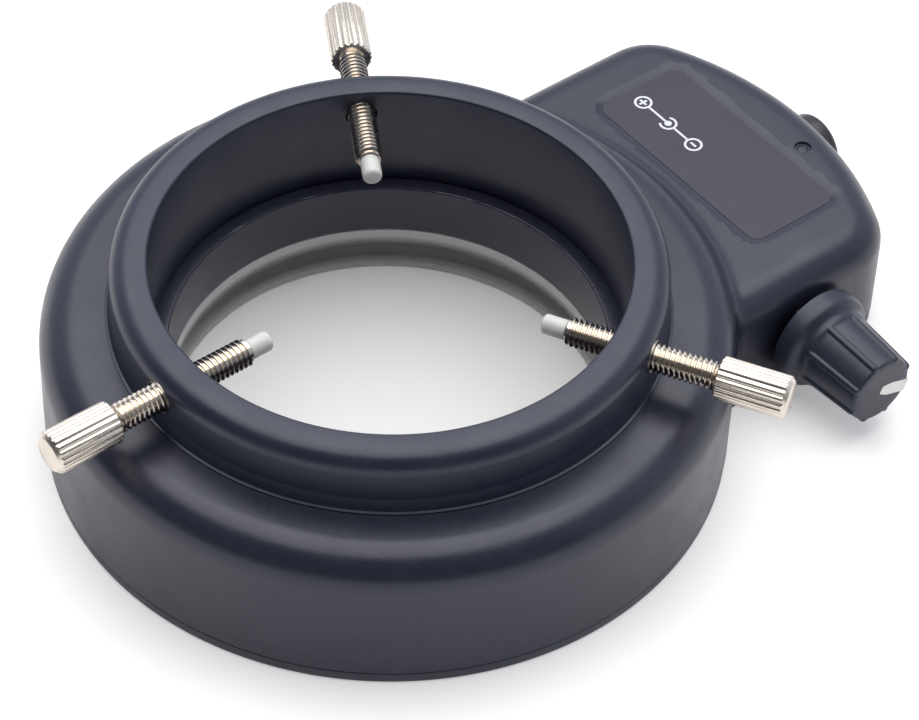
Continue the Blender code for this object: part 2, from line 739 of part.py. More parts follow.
def head_rings():
    """Levels of a thumbscrew's head: chamfer, straight ribs and a smooth end disc."""
    head_start = SCREW_TOTAL - HEAD_LENGTH
    rib_end = SCREW_TOTAL - HEAD_DISC
    inner = HEAD_RADIUS - HEAD_CHAMFER
    rings = [ribbed_ring(inner, 0, head_start)]
    rings.append(ribbed_ring(HEAD_RADIUS, RIB_DEPTH, head_start + HEAD_CHAMFER))
    rings.append(ribbed_ring(HEAD_RADIUS, RIB_DEPTH, rib_end - HEAD_CHAMFER / 2))
    rings.append(ribbed_ring(inner, 0, rib_end))
    rings.append(ribbed_ring(HEAD_RADIUS - RIB_DEPTH, 0, SCREW_TOTAL - HEAD_CHAMFER / 2))
    rings.append(ribbed_ring(inner, 0, SCREW_TOTAL))
    return rings


def thumbscrew(number):
    """One clamping thumbscrew, placed so that its tip stands at its own distance in."""
    degrees = SCREW_ANGLES[number - 1]
    place = facing_out(degrees, CLAMP_HEIGHT) @ at(0, 0, TIP_REACHES[number - 1])
    label = str(number)
    start = TIP_LENGTH + PRESS_GAP
    end = SCREW_TOTAL - HEAD_LENGTH + HEAD_CHAMFER
    profile = [(0, start), (THREAD_RADIUS - EDGE_BREAK, start)]
    profile += [(THREAD_RADIUS, start + EDGE_BREAK), (THREAD_RADIUS, end), (0, end)]
    screw = loft("thumbscrew_" + label, head_rings(), PARTS, place)
    shank = revolve("shank_" + label, profile, ROUND_STEPS, CUTTERS, place, closed=False)
    fuse(screw, shank)
    radius = STEM_RADIUS + PRESS_GAP
    depth = TIP_LENGTH + STEM_LENGTH + PRESS_GAP
    name = "stem_hole_" + label
    cut(screw, cylinder(name, radius, start - CUT_MARGIN, depth, SMALL_STEPS, CUTTERS, place))
    return screw


def nylon_tip(number):
    """Soft tip pressed into the end of one thumbscrew."""
    place = facing_out(SCREW_ANGLES[number - 1], CLAMP_HEIGHT) @ at(0, 0, TIP_REACHES[number - 1])
    profile = [(0, 0)]
    profile += arc((TIP_RADIUS - TIP_ROUND, TIP_ROUND), TIP_ROUND, -90, 0, 3)
    profile += [(TIP_RADIUS, TIP_LENGTH), (STEM_RADIUS, TIP_LENGTH)]
    profile += [(STEM_RADIUS, TIP_LENGTH + STEM_LENGTH), (0, TIP_LENGTH + STEM_LENGTH)]
    name = "nylon_tip_" + str(number)
    return revolve(name, profile, ROUND_STEPS, PARTS, place, closed=False)


def threaded_insert(number):
    """Metal bush in the collar that one thumbscrew runs in."""
    place = facing_out(SCREW_ANGLES[number - 1], CLAMP_HEIGHT)
    start = BORE_RADIUS + INSERT_BACK
    bore = THREAD_RADIUS + PRESS_GAP
    name = "threaded_insert_" + str(number)
    return tube(name, INSERT_RADIUS, bore, start, start + INSERT_LENGTH, ROUND_STEPS, place)


def knob_ring(radius, depth, height):
    """One level of the knob, with shallow flutes of the given depth between narrow ribs."""
    count = FLUTE_COUNT * FLUTE_STEPS
    ring = []
    for index in range(count):
        turn = index / FLUTE_STEPS
        dip = math.sin(math.pi * (turn - math.floor(turn))) ** (1 / 2)
        angle = math.radians(FLUTE_START) + math.tau * index / count
        reach = radius - depth * dip
        ring.append((reach * math.cos(angle), reach * math.sin(angle), height))
    return ring


def pointer_outline(clearance):
    """Blade-shaped mark on the knob's face, from near its axis out past the rim."""
    half = POINTER_WIDTH / 2 + clearance
    butt = -clearance
    reach = CAP_FRONT_RADIUS - KNOB_ROUND + clearance * (1 + KNOB_HEIGHT / KNOB_GAP)
    outline = [(butt, -half / 2), (half, -half), (reach, -half)]
    outline += [(reach, half), (half, half), (butt, half / 2)]
    return outline


def pointer_place():
    """Placement of the pointer, with local X along the mark."""
    turn = Matrix.Rotation(math.radians(POINTER_ANGLE), 4, "Z")
    return knob_axis() @ at(0, 0, KNOB_FRONT) @ turn


def knob():
    """Dimmer knob with a round skirt, a tapered fluted cap and a hollow back."""
    flute_low = KNOB_BACK + SKIRT_HEIGHT + SKIRT_CONE
    rings = [knob_ring(SKIRT_RADIUS, 0, KNOB_BACK)]
    rings.append(knob_ring(SKIRT_RADIUS, 0, KNOB_BACK + SKIRT_HEIGHT - KNOB_ROUND))
    rings.append(knob_ring(SKIRT_RADIUS - KNOB_ROUND, 0, KNOB_BACK + SKIRT_HEIGHT))
    rings.append(knob_ring(CAP_BASE_RADIUS, 0, flute_low - KNOB_ROUND))
    rings.append(knob_ring(CAP_BASE_RADIUS, FLUTE_DEPTH, flute_low + KNOB_ROUND))
    rings.append(knob_ring(CAP_FRONT_RADIUS, FLUTE_DEPTH, KNOB_FRONT - KNOB_ROUND / 2))
    rings.append(knob_ring(CAP_FRONT_RADIUS - KNOB_ROUND, FLUTE_DEPTH, KNOB_FRONT))
    body = loft("knob", rings, PARTS, knob_axis())
    recess_radius = NUT_WIDTH / 2 / math.cos(math.radians(180 / HEX_SIDES)) + 2 * FIT_GAP
    low = KNOB_BACK - CUT_MARGIN
    recess_top = KNOB_BACK + KNOB_RECESS_DEPTH
    cut(body, cylinder("knob_recess", recess_radius, low, recess_top, KNOB_STEPS, CUTTERS, knob_axis()))
    shaft_end = KNOB_FRONT - SHAFT_SINK + FIT_GAP
    radius = SHAFT_RADIUS + PRESS_GAP
    cut(body, cylinder("knob_bore", radius, low, shaft_end, KNOB_STEPS, CUTTERS, knob_axis()))
    outline = pointer_outline(PRESS_GAP)
    depth = POINTER_DEPTH + PRESS_GAP
    cut(body, prism("pointer_groove", outline, -depth, CUT_MARGIN, CUTTERS, pointer_place()))
    return body


def knob_pointer():
    """White mark set into the knob's face."""
    return prism("knob_pointer", pointer_outline(0), -POINTER_DEPTH, 0, PARTS, pointer_place())


def potentiometer_body():
    """Case and threaded bushing of the dimmer's potentiometer."""
    outline = round_rectangle(POT_WIDTH, POT_HEIGHT, EDGE_BREAK)
    body = prism("potentiometer_body", outline, POT_FACE - POT_DEPTH, POT_FACE, PARTS, knob_axis())
    end = POT_FACE + BUSHING_LENGTH
    low = POT_FACE - CUT_MARGIN
    fuse(body, cylinder("bushing", BUSHING_RADIUS, low, end, KNOB_STEPS, CUTTERS, knob_axis()))
    bore = SHAFT_RADIUS + RUNNING_GAP
    floor = POT_FACE - POT_DEPTH / 2 - FIT_GAP
    cut(body, cylinder("bushing_bore", bore, floor, end + WALL, KNOB_STEPS, CUTTERS, knob_axis()))
    return body


def potentiometer_shaft():
    """Turning shaft that carries the knob."""
    low = POT_FACE - POT_DEPTH / 2
    high = KNOB_FRONT - SHAFT_SINK
    return cylinder("potentiometer_shaft", SHAFT_RADIUS, low, high, KNOB_STEPS, PARTS, knob_axis())


def potentiometer_nut():
    """Nut that clamps the potentiometer to the side wall, hidden in the knob's hollow back."""
    low = BOX_HALF_WIDTH + FIT_GAP
    nut = prism("potentiometer_nut", hexagon(NUT_WIDTH), low, low + NUT_HEIGHT, PARTS, knob_axis())
    radius = BUSHING_RADIUS + PRESS_GAP
    cut(nut, cylinder("nut_hole", radius, low - WALL, low + 2 * WALL, KNOB_STEPS, CUTTERS, knob_axis()))
    return nut


def power_socket():
    """Round power socket with a rounded flange, a barrel through the wall and a deep mouth."""
    flange_back = SOCKET_FACE - SOCKET_FLANGE_HEIGHT
    barrel_end = flange_back - SOCKET_BARREL_LENGTH
    floor = barrel_end + SOCKET_FLOOR
    pin_hole = SOCKET_PIN_RADIUS + PRESS_GAP
    centre = (SOCKET_FLANGE_RADIUS - SOCKET_FLANGE_ROUND, SOCKET_FACE - SOCKET_FLANGE_ROUND)
    profile = [(pin_hole, barrel_end), (SOCKET_BARREL_RADIUS, barrel_end)]
    profile += [(SOCKET_BARREL_RADIUS, flange_back), (SOCKET_FLANGE_RADIUS, flange_back)]
    profile += arc(centre, SOCKET_FLANGE_ROUND, 0, 90, 3)
    profile += [(SOCKET_MOUTH_RADIUS, SOCKET_FACE), (SOCKET_MOUTH_RADIUS, floor), (pin_hole, floor)]
    return revolve("power_socket", profile, ROUND_STEPS, PARTS, socket_axis())


def socket_pin():
    """Centre pin of the power socket, held in the floor of its mouth."""
    low = SOCKET_FACE - SOCKET_FLANGE_HEIGHT - SOCKET_BARREL_LENGTH
    high = SOCKET_FACE - SOCKET_PIN_BACK
    radius = SOCKET_PIN_RADIUS
    profile = [(0, low), (radius, low), (radius, high - radius / 2), (radius / 2, high), (0, high)]
    return revolve("socket_pin", profile, SMALL_STEPS, PARTS, socket_axis(), closed=False)


def socket_nut():
    """Nut behind the end wall that holds the power socket."""
    bow = BOX_END_RADIUS - math.sqrt(BOX_END_RADIUS ** 2 - SOCKET_NUT_WIDTH ** 2 / 3)
    high = BOX_REACH - WALL - bow - FIT_GAP
    low = high - SOCKET_NUT_HEIGHT
    place = socket_axis()
    nut = prism("socket_nut", hexagon(SOCKET_NUT_WIDTH), low, high, PARTS, place)
    radius = SOCKET_BARREL_RADIUS + PRESS_GAP
    cut(nut, cylinder("socket_nut_hole", radius, low - WALL, high + WALL, KNOB_STEPS, CUTTERS, place))
    return nut


def label_plate():
    """Bare plate that lies in the recess on top of the control box."""
    length = LABEL_LENGTH - 2 * PRESS_GAP
    width = LABEL_WIDTH - 2 * PRESS_GAP
    outline = round_rectangle(length, width, LABEL_CORNER - PRESS_GAP)
    floor = PRESS_GAP - RECESS_DEPTH
    place = at(LABEL_CENTRE, 0, BOX_TOP)
    return prism("label_plate", outline, floor, floor + LABEL_THICKNESS, PARTS, place)


def driver_board():
    """Small board in the box that feeds and dims the lamps."""
    outline = round_rectangle(DRIVER_LENGTH, DRIVER_WIDTH, EDGE_BREAK)
    place = at(DRIVER_X, 0, 0)
    return prism("driver_board", outline, DRIVER_BASE, DRIVER_TOP, PARTS, place)


def driver_parts():
    """Coil, capacitor and driver chip on the driver board."""
    base = DRIVER_TOP + PRESS_GAP
    coil_place = at(DRIVER_X, PART_SPACING, base)
    coil = cylinder("driver_coil", COIL_RADIUS, 0, COIL_HEIGHT, ROUND_STEPS, PARTS, coil_place)
    can_place = at(DRIVER_X, 0, base)
    can = cylinder("driver_capacitor", CAN_RADIUS, 0, CAN_HEIGHT, ROUND_STEPS, PARTS, can_place)
    outline = round_rectangle(CHIP_LENGTH, CHIP_WIDTH, EDGE_BREAK)
    chip_place = at(DRIVER_X, -PART_SPACING, base)
    chip = prism("driver_chip", outline, 0, CHIP_HEIGHT, PARTS, chip_place)
    return coil, can, chip


def build():
    """Make every node and give each its own material."""
    paint(mounting_collar(), make_material("collar_grey", BODY_GREY, 0.45))
    paint(upper_housing(), make_material("housing_grey", BODY_GREY, 0.45))
    paint(bottom_cover(), make_material("cover_grey", DARK_GREY, 0.5))
    paint(led_window(), make_material("clear_window", (0.85, 0.87, 0.88), 0.1, 0.0, 0.35))
    paint(led_board(), make_material("lamp_board", BOARD_GREEN, 0.5))
    paint(label_plate(), make_material("label_grey", DARK_GREY, 0.5))
    for number in range(1, len(SCREW_ANGLES) + 1):
        label = "_" + str(number)
        paint(threaded_insert(number), make_material("insert_brass" + label, BRASS, 0.35, 1.0))
        paint(thumbscrew(number), make_material("screw_nickel" + label, NICKEL, 0.25, 1.0))
        paint(nylon_tip(number), make_material("nylon" + label, NYLON, 0.5))
    paint(knob(), make_material("knob_black", DARK_GREY, 0.5))
    paint(knob_pointer(), make_material("pointer_white", NYLON, 0.5))
    paint(potentiometer_body(), make_material("pot_case", NICKEL, 0.4, 1.0))
    paint(potentiometer_shaft(), make_material("shaft_metal", NICKEL, 0.35, 1.0))
    paint(potentiometer_nut(), make_material("nut_metal", NICKEL, 0.3, 1.0))
    paint(power_socket(), make_material("socket_black", DARK_GREY, 0.4))
    paint(socket_pin(), make_material("pin_metal", NICKEL, 0.25, 1.0))
    paint(socket_nut(), make_material("socket_nut_metal", NICKEL, 0.3, 1.0))
    paint(driver_board(), make_material("driver_green", BOARD_GREEN, 0.5))
    coil, can, chip = driver_parts()
    paint(coil, make_material("coil_copper", COPPER, 0.5))
    paint(can, make_material("capacitor_sleeve", DARK_GREY, 0.4))
    paint(chip, make_material("chip_black", DARK_GREY, 0.6))
    for number, screw in enumerate(housing_screws(), 1):
        paint(screw, make_material("screw_steel_" + str(number), NICKEL, 0.35, 1.0))


build()
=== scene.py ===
"""Looks of a ring light for microscopes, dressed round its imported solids.

Lengths are in millimetres from the ring's axis and its base until a mesh is made, which puts
them in metres. Angles are in degrees. In a profile a third value is the corner's rounding.
"""

import math

import bmesh
import bpy
import numpy as np
from mathutils import Matrix, Vector

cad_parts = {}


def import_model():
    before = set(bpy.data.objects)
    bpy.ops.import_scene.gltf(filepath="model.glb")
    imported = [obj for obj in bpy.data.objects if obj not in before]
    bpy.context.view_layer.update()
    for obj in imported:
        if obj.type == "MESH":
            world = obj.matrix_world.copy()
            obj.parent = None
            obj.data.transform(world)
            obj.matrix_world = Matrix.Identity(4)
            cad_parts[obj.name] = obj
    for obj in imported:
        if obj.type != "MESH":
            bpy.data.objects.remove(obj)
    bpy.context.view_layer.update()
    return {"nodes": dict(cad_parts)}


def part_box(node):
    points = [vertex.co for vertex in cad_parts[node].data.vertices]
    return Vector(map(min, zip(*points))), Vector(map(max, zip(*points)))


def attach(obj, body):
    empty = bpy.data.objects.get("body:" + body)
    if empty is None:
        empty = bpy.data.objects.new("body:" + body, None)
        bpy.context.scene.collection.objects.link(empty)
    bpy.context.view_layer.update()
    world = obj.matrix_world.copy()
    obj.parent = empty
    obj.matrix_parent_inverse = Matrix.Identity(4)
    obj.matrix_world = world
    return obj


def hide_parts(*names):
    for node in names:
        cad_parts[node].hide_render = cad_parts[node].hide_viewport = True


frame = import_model()

# The ring's axis is the middle of the collar
COLLAR_LOW, COLLAR_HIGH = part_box("mounting_collar")
CENTRE = (COLLAR_LOW + COLLAR_HIGH) / 2
CENTRE.z = 0

MM = 0.001
MERGE = 1e-4
OVERRUN = 1.0
LEAST_CORNER = 0.01
FILLET_ROOM_SHARE = 0.49
NEARLY_STRAIGHT = 89
SHARP = 30.0
SHARP_CARVED = 35.0
SHARP_RIBBED = 40.0
IDENTITY = Matrix.Identity(4)

# Roundings and small steps
HAIR = 0.05
FINE = 0.1
SLIGHT = 0.15
SOFT = 0.2
EASED = 0.25
ROUND = 0.3

# Ring
BORE = 31.0
THROAT = 28.8
RING = 45.4
SHELL_WALL = 2.0
SHELL_BASE = 1.8
SHELL_EDGE = 0.12
SHOULDER_TOP = 21.7
SHOULDER_ROUND = 5.05
SEAT = 21.9
LEDGE = 15.0
LEDGE_STEP = 0.3
POCKET = 34.5
WINDOW_SEAT = 7.4
WINDOW_POCKET = 31.8
SHOULDER_START = SHOULDER_TOP - SHOULDER_ROUND
SHOULDER_EDGE = RING - SHOULDER_ROUND

# Control box
BOX_REACH = 72.5
BOX_HALF = 26.2
BOX_TOP = 18.0
BOX_END = 46.9
BOX_CORNER = 8.8
BOX_ROUND = 4.5
BOX_END_X = BOX_REACH - BOX_END
BOX_CORNER_Y = BOX_HALF - BOX_CORNER
BLEND = 1.5
CAVITY_START = 37.5
CAVITY_CORNER = 59.4
CAVITY_CORNER_ARC = 65
CAVITY_END_ARC = 26
CAVITY_BEND = 15.3
CAVITY_BEND_INSET = 2.75

# Spacing of the shell's sections and rows
ANGLE_SAMPLES = 7201
RING_STEP = 1.5
BOX_STEP = 0.75
BOX_MARGIN = 4
JOIN_STEP = 0.2
JOIN_SPREAD = 1.3
TRACE_MARGIN = 3.0
TRACE_STEP = 0.1
MOST_STEPS = 900
SETTLE_ROUNDS = 4
NUDGE = 1e-4
TINY = 1e-6
ROWS = 58
ROW_STEP = 1.3
BEND_WEIGHT = 1.6
SHARPEST_BEND = 1.2
BEND_WINDOW = 9
WEIGHT_WINDOW = 13

# Screw bosses, with their places in plan and their tops
BOSS = 2.2
BOSS_BASE = 2.9
BOSS_CIRCLE = 42.9
BOX_BOSS_X = 61.0
BOX_BOSS_Y = 18.7
BOX_BOSS_TOP = BOX_TOP - SHELL_WALL / 2
BOSSES = (
    (0.0, BOSS_CIRCLE, SHOULDER_START), (-BOSS_CIRCLE, 0.0, SHOULDER_START),
    (0.0, -BOSS_CIRCLE, SHOULDER_START),
    (BOX_BOSS_X, -BOX_BOSS_Y, BOX_BOSS_TOP), (BOX_BOSS_X, BOX_BOSS_Y, BOX_BOSS_TOP),
)
PILOT = 1.15
PILOT_TOP = 10.2

# Recesses and holes of the box
LABEL_X = 56.0
RECESS_LENGTH = 14.2
RECESS_WIDTH = 33.0
RECESS_CORNER = 1.6
RECESS_DEPTH = 0.5
RECESS_BEND = 0.06
RECESS_BEND_INSET = 0.12
RECESS_BRINK = 0.95
RECESS_REACH = 1.2
DIMPLE_X = 66.2
DIMPLE_Y = -6.6
DIMPLE = 1.3
DIMPLE_WALL = 1.16
DIMPLE_FLOOR = 1.1
DIMPLE_DEPTH = 0.45
DIMPLE_BRINK = 0.04
DISC = 0.62
DISC_FOOT = 0.8
DISC_DEPTH = 0.34
DIMMER_HOLE = 3.8
DIMMER_HOLE_ENDS = (22.0, 28.0)
SOCKET_HOLE = 4.1
SOCKET_HOLE_ENDS = (66.0, 74.0)

# Collar
COLLAR_TOP = 30.5
COLLAR_FOOT = 21.95
COLLAR_WALL = 36.2
WALL_BASE = 24.0
WALL_ROUND = 2.0
LIP_FLAT = 33.4
LIP_ROUND = 2.6
BORE_ROUND = 0.4
SLEEVE = 34.2
FOOT = 36.75
FOOT_RISE = 0.16
FOOT_SLOPE = 0.35
FOOT_ROUNDS = (0.02, 0.03, 0.06)
HOLE = 2.15
HOLE_MOUTH = 2.3
INSERT_HOLE = 2.22
INSERT_STOP = 32.25

# Bottom cover
COVER_HOLE = 40.8
COVER_TOP = 1.5
COVER_RIM = 1.7
RIM_WIDTH = 1.0
RIM_EDGE = 0.08
COVER_ROUND = 0.4
COVER_BEVEL = 0.12
SINK = 1.7
SINK_FLOOR = 1.0

# Window, lamp board and lamps, whose own heights count from the board
WINDOW_BASE = 0.3
WINDOW_TOP = 2.6
WINDOW_EDGE = 40.5
WINDOW_FLANGE = 41.7
TUBE = 30.3
TUBE_TOP = 7.1
BOARD_HOLE = 31.1
BOARD_EDGE = 40.4
BOARD_BASE = 11.2
BOARD_TOP = 12.7
LAMPS_IN_ROW = 28
LAMP_ROWS = ((33.8, 0.0), (37.9, 0.5))
LAMP = 2.4
LAMP_LIFT = 0.02
LAMP_COLLAR = 1.0
LAMP_DOME = 5.4
CUP = 1.05
CUP_STEM = 0.35
CUP_BASE = 0.06
CUP_NECK = 1.6
CUP_BELLY = 2.2
CUP_FLOOR = 3.3
CUP_TOP = 3.9
DOT = 0.66
DOT_FOOT = 0.5
DOT_BASE = 3.34
DOT_EDGE = 3.62
DOT_TOP = 3.74

# Thumbscrews: height, then direction and reach of each tip, then sizes counted from the tip
CLAMP = 26.65
SCREWS = ((-60.0, 21.0), (60.0, 18.45), (180.0, 19.15))
SCREW_TOTAL = 33.2
PITCH = 0.7
THREAD = 1.9
THREAD_ROOT = 1.53
THREAD_SHARES = ((0.0, 0.0), (0.08, 0.0), (0.42, 1.0), (0.58, 1.0))
THREAD_STEPS = 32
THREAD_LEAD = 0.45
THREAD_RUNOUT = 0.3
HEAD = 2.85
HEAD_LENGTH = 9.6
HEAD_CORE = 1.2
HEAD_NECK_CHAMFER = ((0.42, 0.0), (0.27, 0.12), (0.2, 0.18), (0.1, 0.27), (0.0, 0.36))
HEAD_END_CHAMFER = (
    (0.0, 0.62), (0.1, 0.52), (0.2, 0.42), (0.3, 0.32), (0.46, 0.13), (0.53, 0.04), (0.62, 0.0),
)
RIBS = 20
RIB_STEPS = 10
RIB_DEPTH = 0.18
RIB_POWER = 1.5
TIP = 1.32
TIP_LENGTH = 3.3
TIP_ROUND = 0.55
STEM = 0.8
STEM_LENGTH = 2.2

# Inserts, with places counted from the ring's axis
INSERT = 2.2
INSERT_BORE = 1.96
INSERT_MOUTH = 2.1
INSERT_START = 32.3
INSERT_MOUTH_START = 35.8
INSERT_END = 36.12
INSERT_ROUND = 0.07
INSERT_LIP = 0.04

# Knob; its levels are radius or inset, distance from back or front, and depth of the flutes
KNOB_X = 50.4
KNOB_Z = 8.7
KNOB_BACK = 27.7
KNOB_FRONT = 41.2
SKIRT = 7.1
CAP = 5.9
CAP_FRONT = 5.3
HOLLOW_LEVELS = ((4.0, 2.1), (5.8, 2.1), (5.8, 0.1), (5.95, 0.0))
SKIRT_LEVELS = (
    (0.15, 0.0), (0.0, 0.15), (0.0, 1.95), (0.05, 2.3), (0.19, 2.65), (0.42, 2.93), (0.7, 3.12),
)
CAP_LEVELS = (
    (-0.28, 3.32, 0), (-0.1, 3.6, 0), (-0.02, 3.95, 0), (0.0, 4.3, 0.15), (0.0, 4.5, 0.45),
    (0.02, 4.75, 0.8), (0.04, 5.1, 1),
)
FRONT_LEVELS = (
    (-0.05, 0.6, 1), (0.0, 0.38, 1), (0.08, 0.18, 1), (0.24, 0.05, 1), (0.48, 0.0, 0.9),
    (1.7, 0.02, 0.4), (CAP_FRONT, 0.02, 0),
)
FLUTES = 8
FLUTE_STEPS = 30
FLUTE_START = 18
FLUTE_DEPTH = 0.34
FLUTE_BOW = 0.16
RIB_SHARE = 0.05
FLANK_SHARE = 0.07
KNOB_BORE = 3.1
KNOB_BORE_ENDS = (25.0, 38.1)
POINTER_TURN = -20
POINTER_HALF = 1.0
POINTER_REACH = 5.0
POINTER_DEPTH = 1.2
POINTER_GAP = 0.06
POINTER_BEND = 1.6
POINTER_BEND_ROUND = 0.6
POINTER_BUTT_SHARE = 0.62
POINTER_BUTT_ROUND = 0.35

# Power socket
SOCKET_Y = -0.3
SOCKET_Z = 9.0
SOCKET_BACK = 62.4
SOCKET_FACE = 75.8
SOCKET_BARREL = 3.8
SOCKET_FLANGE = 4.75
FLANGE_BACK = 72.8
FLANGE_ROUND = 1.2
MOUTH = 2.9
MOUTH_FLOOR = 65.4
PIN_HOLE = 1.15
PIN = 1.05
PIN_END = 74.8
PIN_ROUND = 0.55

# Label film and the sign printed on it
FILM_LAP = 0.3
FILM_TOP = -0.33
FILM_LEVELS = ((0.0, -0.4), (0.0, -0.36), (0.03, FILM_TOP))
INK = 0.02
LINE = 0.34
SIGN_X = 54.6
SIGN_Y = 8.33
SIGN_REACH = 5.35
SIGN_ROUND = 1.3
SIGN_DOT = 0.52
SIGN_STEM = 0.5
SIGN_ARC_START = 140
SIGN_ARC_SWEEP = 260
MINUS_LENGTH = 1.1
PLUS_LENGTH = 1.3
PLUS_ARM = 0.5
PLUS_ARM_PLACE = 0.4

# Cover screws, head down
COVER_SCREW = 0.85
COVER_SCREW_HEAD = 1.4
COVER_HEAD_TOP = 0.7
COVER_SCREW_SHOULDER = 7.3
COVER_SCREW_END = 7.7
CROSS_LENGTH = 1.7
CROSS_WIDTH = 0.34
CROSS_LEVELS = ((0.0, -OVERRUN), (0.0, 0.15), (0.12, 0.45))

# Textures, in features to a metre, and depths of relief in metres
CLOUDS = 45.0
PATCHES = 160.0
STAINS = 420.0
SCUFFS = 1500.0
SPECKS = 2400.0
STREAKS = 2600.0
SCUFF_RELIEF = 0.000006
STREAK_RELIEF = 0.000003
ROUGH_SPREAD = 0.05

# Heights and distances from the axis where the window's haze changes, and where its tube's foot
# turns lighter as painted light from the floor, in metres
RIM_HAZE = (0.0044, 0.0060)
FOOT_HAZE_AND_LIGHT = (0.0003, 0.0028)
TUBE_HAZE = (0.0306, 0.0318)

# Floor, whose lift by its own light depends on the distance from the axis in metres; the low lift
# inside and near the ring is painted shade round the object
FLOOR_REACH = 1600.0
FLOOR_STEPS = 96
LIFT_INSIDE = 0.01
LIFT_NEAR = 0.31
LIFT_FAR = 0.85
LIFT_MIRRORED = 0.5
NEAR_SPAN = (0.031, 0.045)
FAR_SPAN = (0.12, 0.60)

# Light, with places in metres
BEHIND = (0.88, 0.475, 0.0)
SWEEP = 0.45
FRONT_LIGHT = 0.29
FRONT_MIRRORED = 0.12
BACK_LIGHT = 0.80
SURROUND = (0.89, 0.95, 1.06)
SOFT_BOX_PLACE = (0.06, 0.12, 0.58)
SOFT_BOX_SIZE = 0.86
SOFT_BOX_POWER = 4.2
SOFT_BOX_COLOR = (1.0, 0.97, 0.94)

# Camera, from the fit to the ring's circles in the photograph
CAMERA_TILT = 45.99
CAMERA_ROLL = 2.28
CAMERA_BEARING = 39.557
CAMERA_DISTANCE = 480.954
CAMERA_ACROSS = 9.62
CAMERA_UPWARD = 7.74
FOCAL_PIXELS = 3598.35
PHOTO_WIDTH = 919
SENSOR = 36.0
CLIP_NEAR = 0.02
CLIP_FAR = 20.0


# Meshes
def at(x, y, z):
    """Placement by a plain shift."""
    return Matrix.Translation(Vector((x, y, z)))


def turned(degrees, axis):
    """Placement by a turn about one axis."""
    return Matrix.Rotation(math.radians(degrees), 4, axis)


def screw_axis(degrees, reach=0.0):
    """Placement with local Z along a thumbscrew, outwards from the ring's axis."""
    return at(0, 0, CLAMP) @ turned(degrees, "Z") @ turned(90, "Y") @ at(0, 0, reach)


# Placements with local Z along the knob's and the socket's axis, out of the box
KNOB_AXIS = at(KNOB_X, 0, KNOB_Z) @ turned(90, "X")
SOCKET_AXIS = at(0, SOCKET_Y, SOCKET_Z) @ turned(90, "Y")


def link_object(name, data):
    """New object in the scene."""
    obj = bpy.data.objects.new(name, data)
    bpy.context.scene.collection.objects.link(obj)
    return obj


def clean(bm):
    """Merge points that coincide and drop faces without area."""
    bmesh.ops.remove_doubles(bm, verts=bm.verts, dist=MERGE)
    bmesh.ops.dissolve_degenerate(bm, edges=bm.edges, dist=MERGE)


def fill_holes(bm):
    """Close every open boundary with one face."""
    edges = [edge for edge in bm.edges if edge.is_boundary]
    bmesh.ops.holes_fill(bm, edges=edges, sides=0)


def smooth(mesh, sharp):
    """Shade smooth, but for edges sharper than an angle."""
    mesh.shade_smooth()
    mesh.set_sharp_from_angle(angle=math.radians(sharp))


def make_object(name, bm, place=IDENTITY, sharp=SHARP):
    """Object in metres, in the frame, from a bmesh in millimetres."""
    clean(bm)
    bmesh.ops.recalc_face_normals(bm, faces=bm.faces)
    scale = Matrix.Diagonal((MM, MM, MM, 1))
    bm.transform(Matrix.Translation(CENTRE) @ scale @ place)
    mesh = bpy.data.meshes.new(name)
    bm.to_mesh(mesh)
    bm.free()
    smooth(mesh, sharp)
    return link_object(name, mesh)


def skin(bm, rings, wrap=False, caps=True):
    """Skin a stack of closed rings with quads; wrap joins the last ring to the first."""
    loops = [[bm.verts.new(point) for point in ring] for ring in rings]
    pairs = list(zip(loops, loops[1:]))
    if wrap:
        pairs.append((loops[-1], loops[0]))
    for lower, upper in pairs:
        count = len(lower)
        for i in range(count):
            j = (i + 1) % count
            bm.faces.new((lower[i], lower[j], upper[j], upper[i]))
    if caps and not wrap:
        bm.faces.new(loops[0][::-1])
        bm.faces.new(loops[-1])


def skinned(name, rings, place=IDENTITY, sharp=SHARP, **settings):
    """Object from a stack of rings."""
    bm = bmesh.new()
    skin(bm, rings, **settings)
    return make_object(name, bm, place, sharp)


def spin(radius, angle, height):
    """Point at an angle in radians about local Z."""
    return radius * math.cos(angle), radius * math.sin(angle), height


def circle(radius, height, steps):
    """Ring of points about local Z."""
    return [spin(radius, math.tau * k / steps, height) for k in range(steps)]


def arc(x, y, radius, start, end, steps):
    """Points of an arc in a plane, both ends included."""
    angles = [math.radians(start + (end - start) * k / steps) for k in range(steps + 1)]
    return [(x + radius * math.cos(angle), y + radius * math.sin(angle)) for angle in angles]


def fillet(before, corner, after, radius, steps):
    """Points of a rounded corner between two straight stretches."""
    corner = Vector(corner)
    back = Vector(before) - corner
    ahead = Vector(after) - corner
    room = FILLET_ROOM_SHARE * min(back.length, ahead.length)
    back.normalize()
    ahead.normalize()
    half = math.acos(max(-1.0, min(1.0, back.dot(ahead)))) / 2
    if half > math.radians(NEARLY_STRAIGHT) or radius <= 0:
        return [tuple(corner)]
    reach = min(radius / math.tan(half), room)
    radius = reach * math.tan(half)
    centre = corner + (back + ahead).normalized() * (radius / math.sin(half))
    start = (corner + back * reach) - centre
    end = (corner + ahead * reach) - centre
    turn = math.pi - 2 * half
    points = []
    for k in range(steps + 1):
        share = k / steps
        from_start = math.sin((1 - share) * turn) / math.sin(turn)
        from_end = math.sin(share * turn) / math.sin(turn)
        points.append(tuple(centre + start * from_start + end * from_end))
    return points


def soften(profile, closed=True, steps=3):
    """Round the corners of a profile of (x, y, rounding) points."""
    count = len(profile)
    out = []
    for i, (x, y, radius) in enumerate(profile):
        if not closed and i in (0, count - 1):
            out.append((x, y))
            continue
        before = profile[i - 1][:2]
        after = profile[(i + 1) % count][:2]
        out += fillet(before, (x, y), after, radius, steps)
    return out


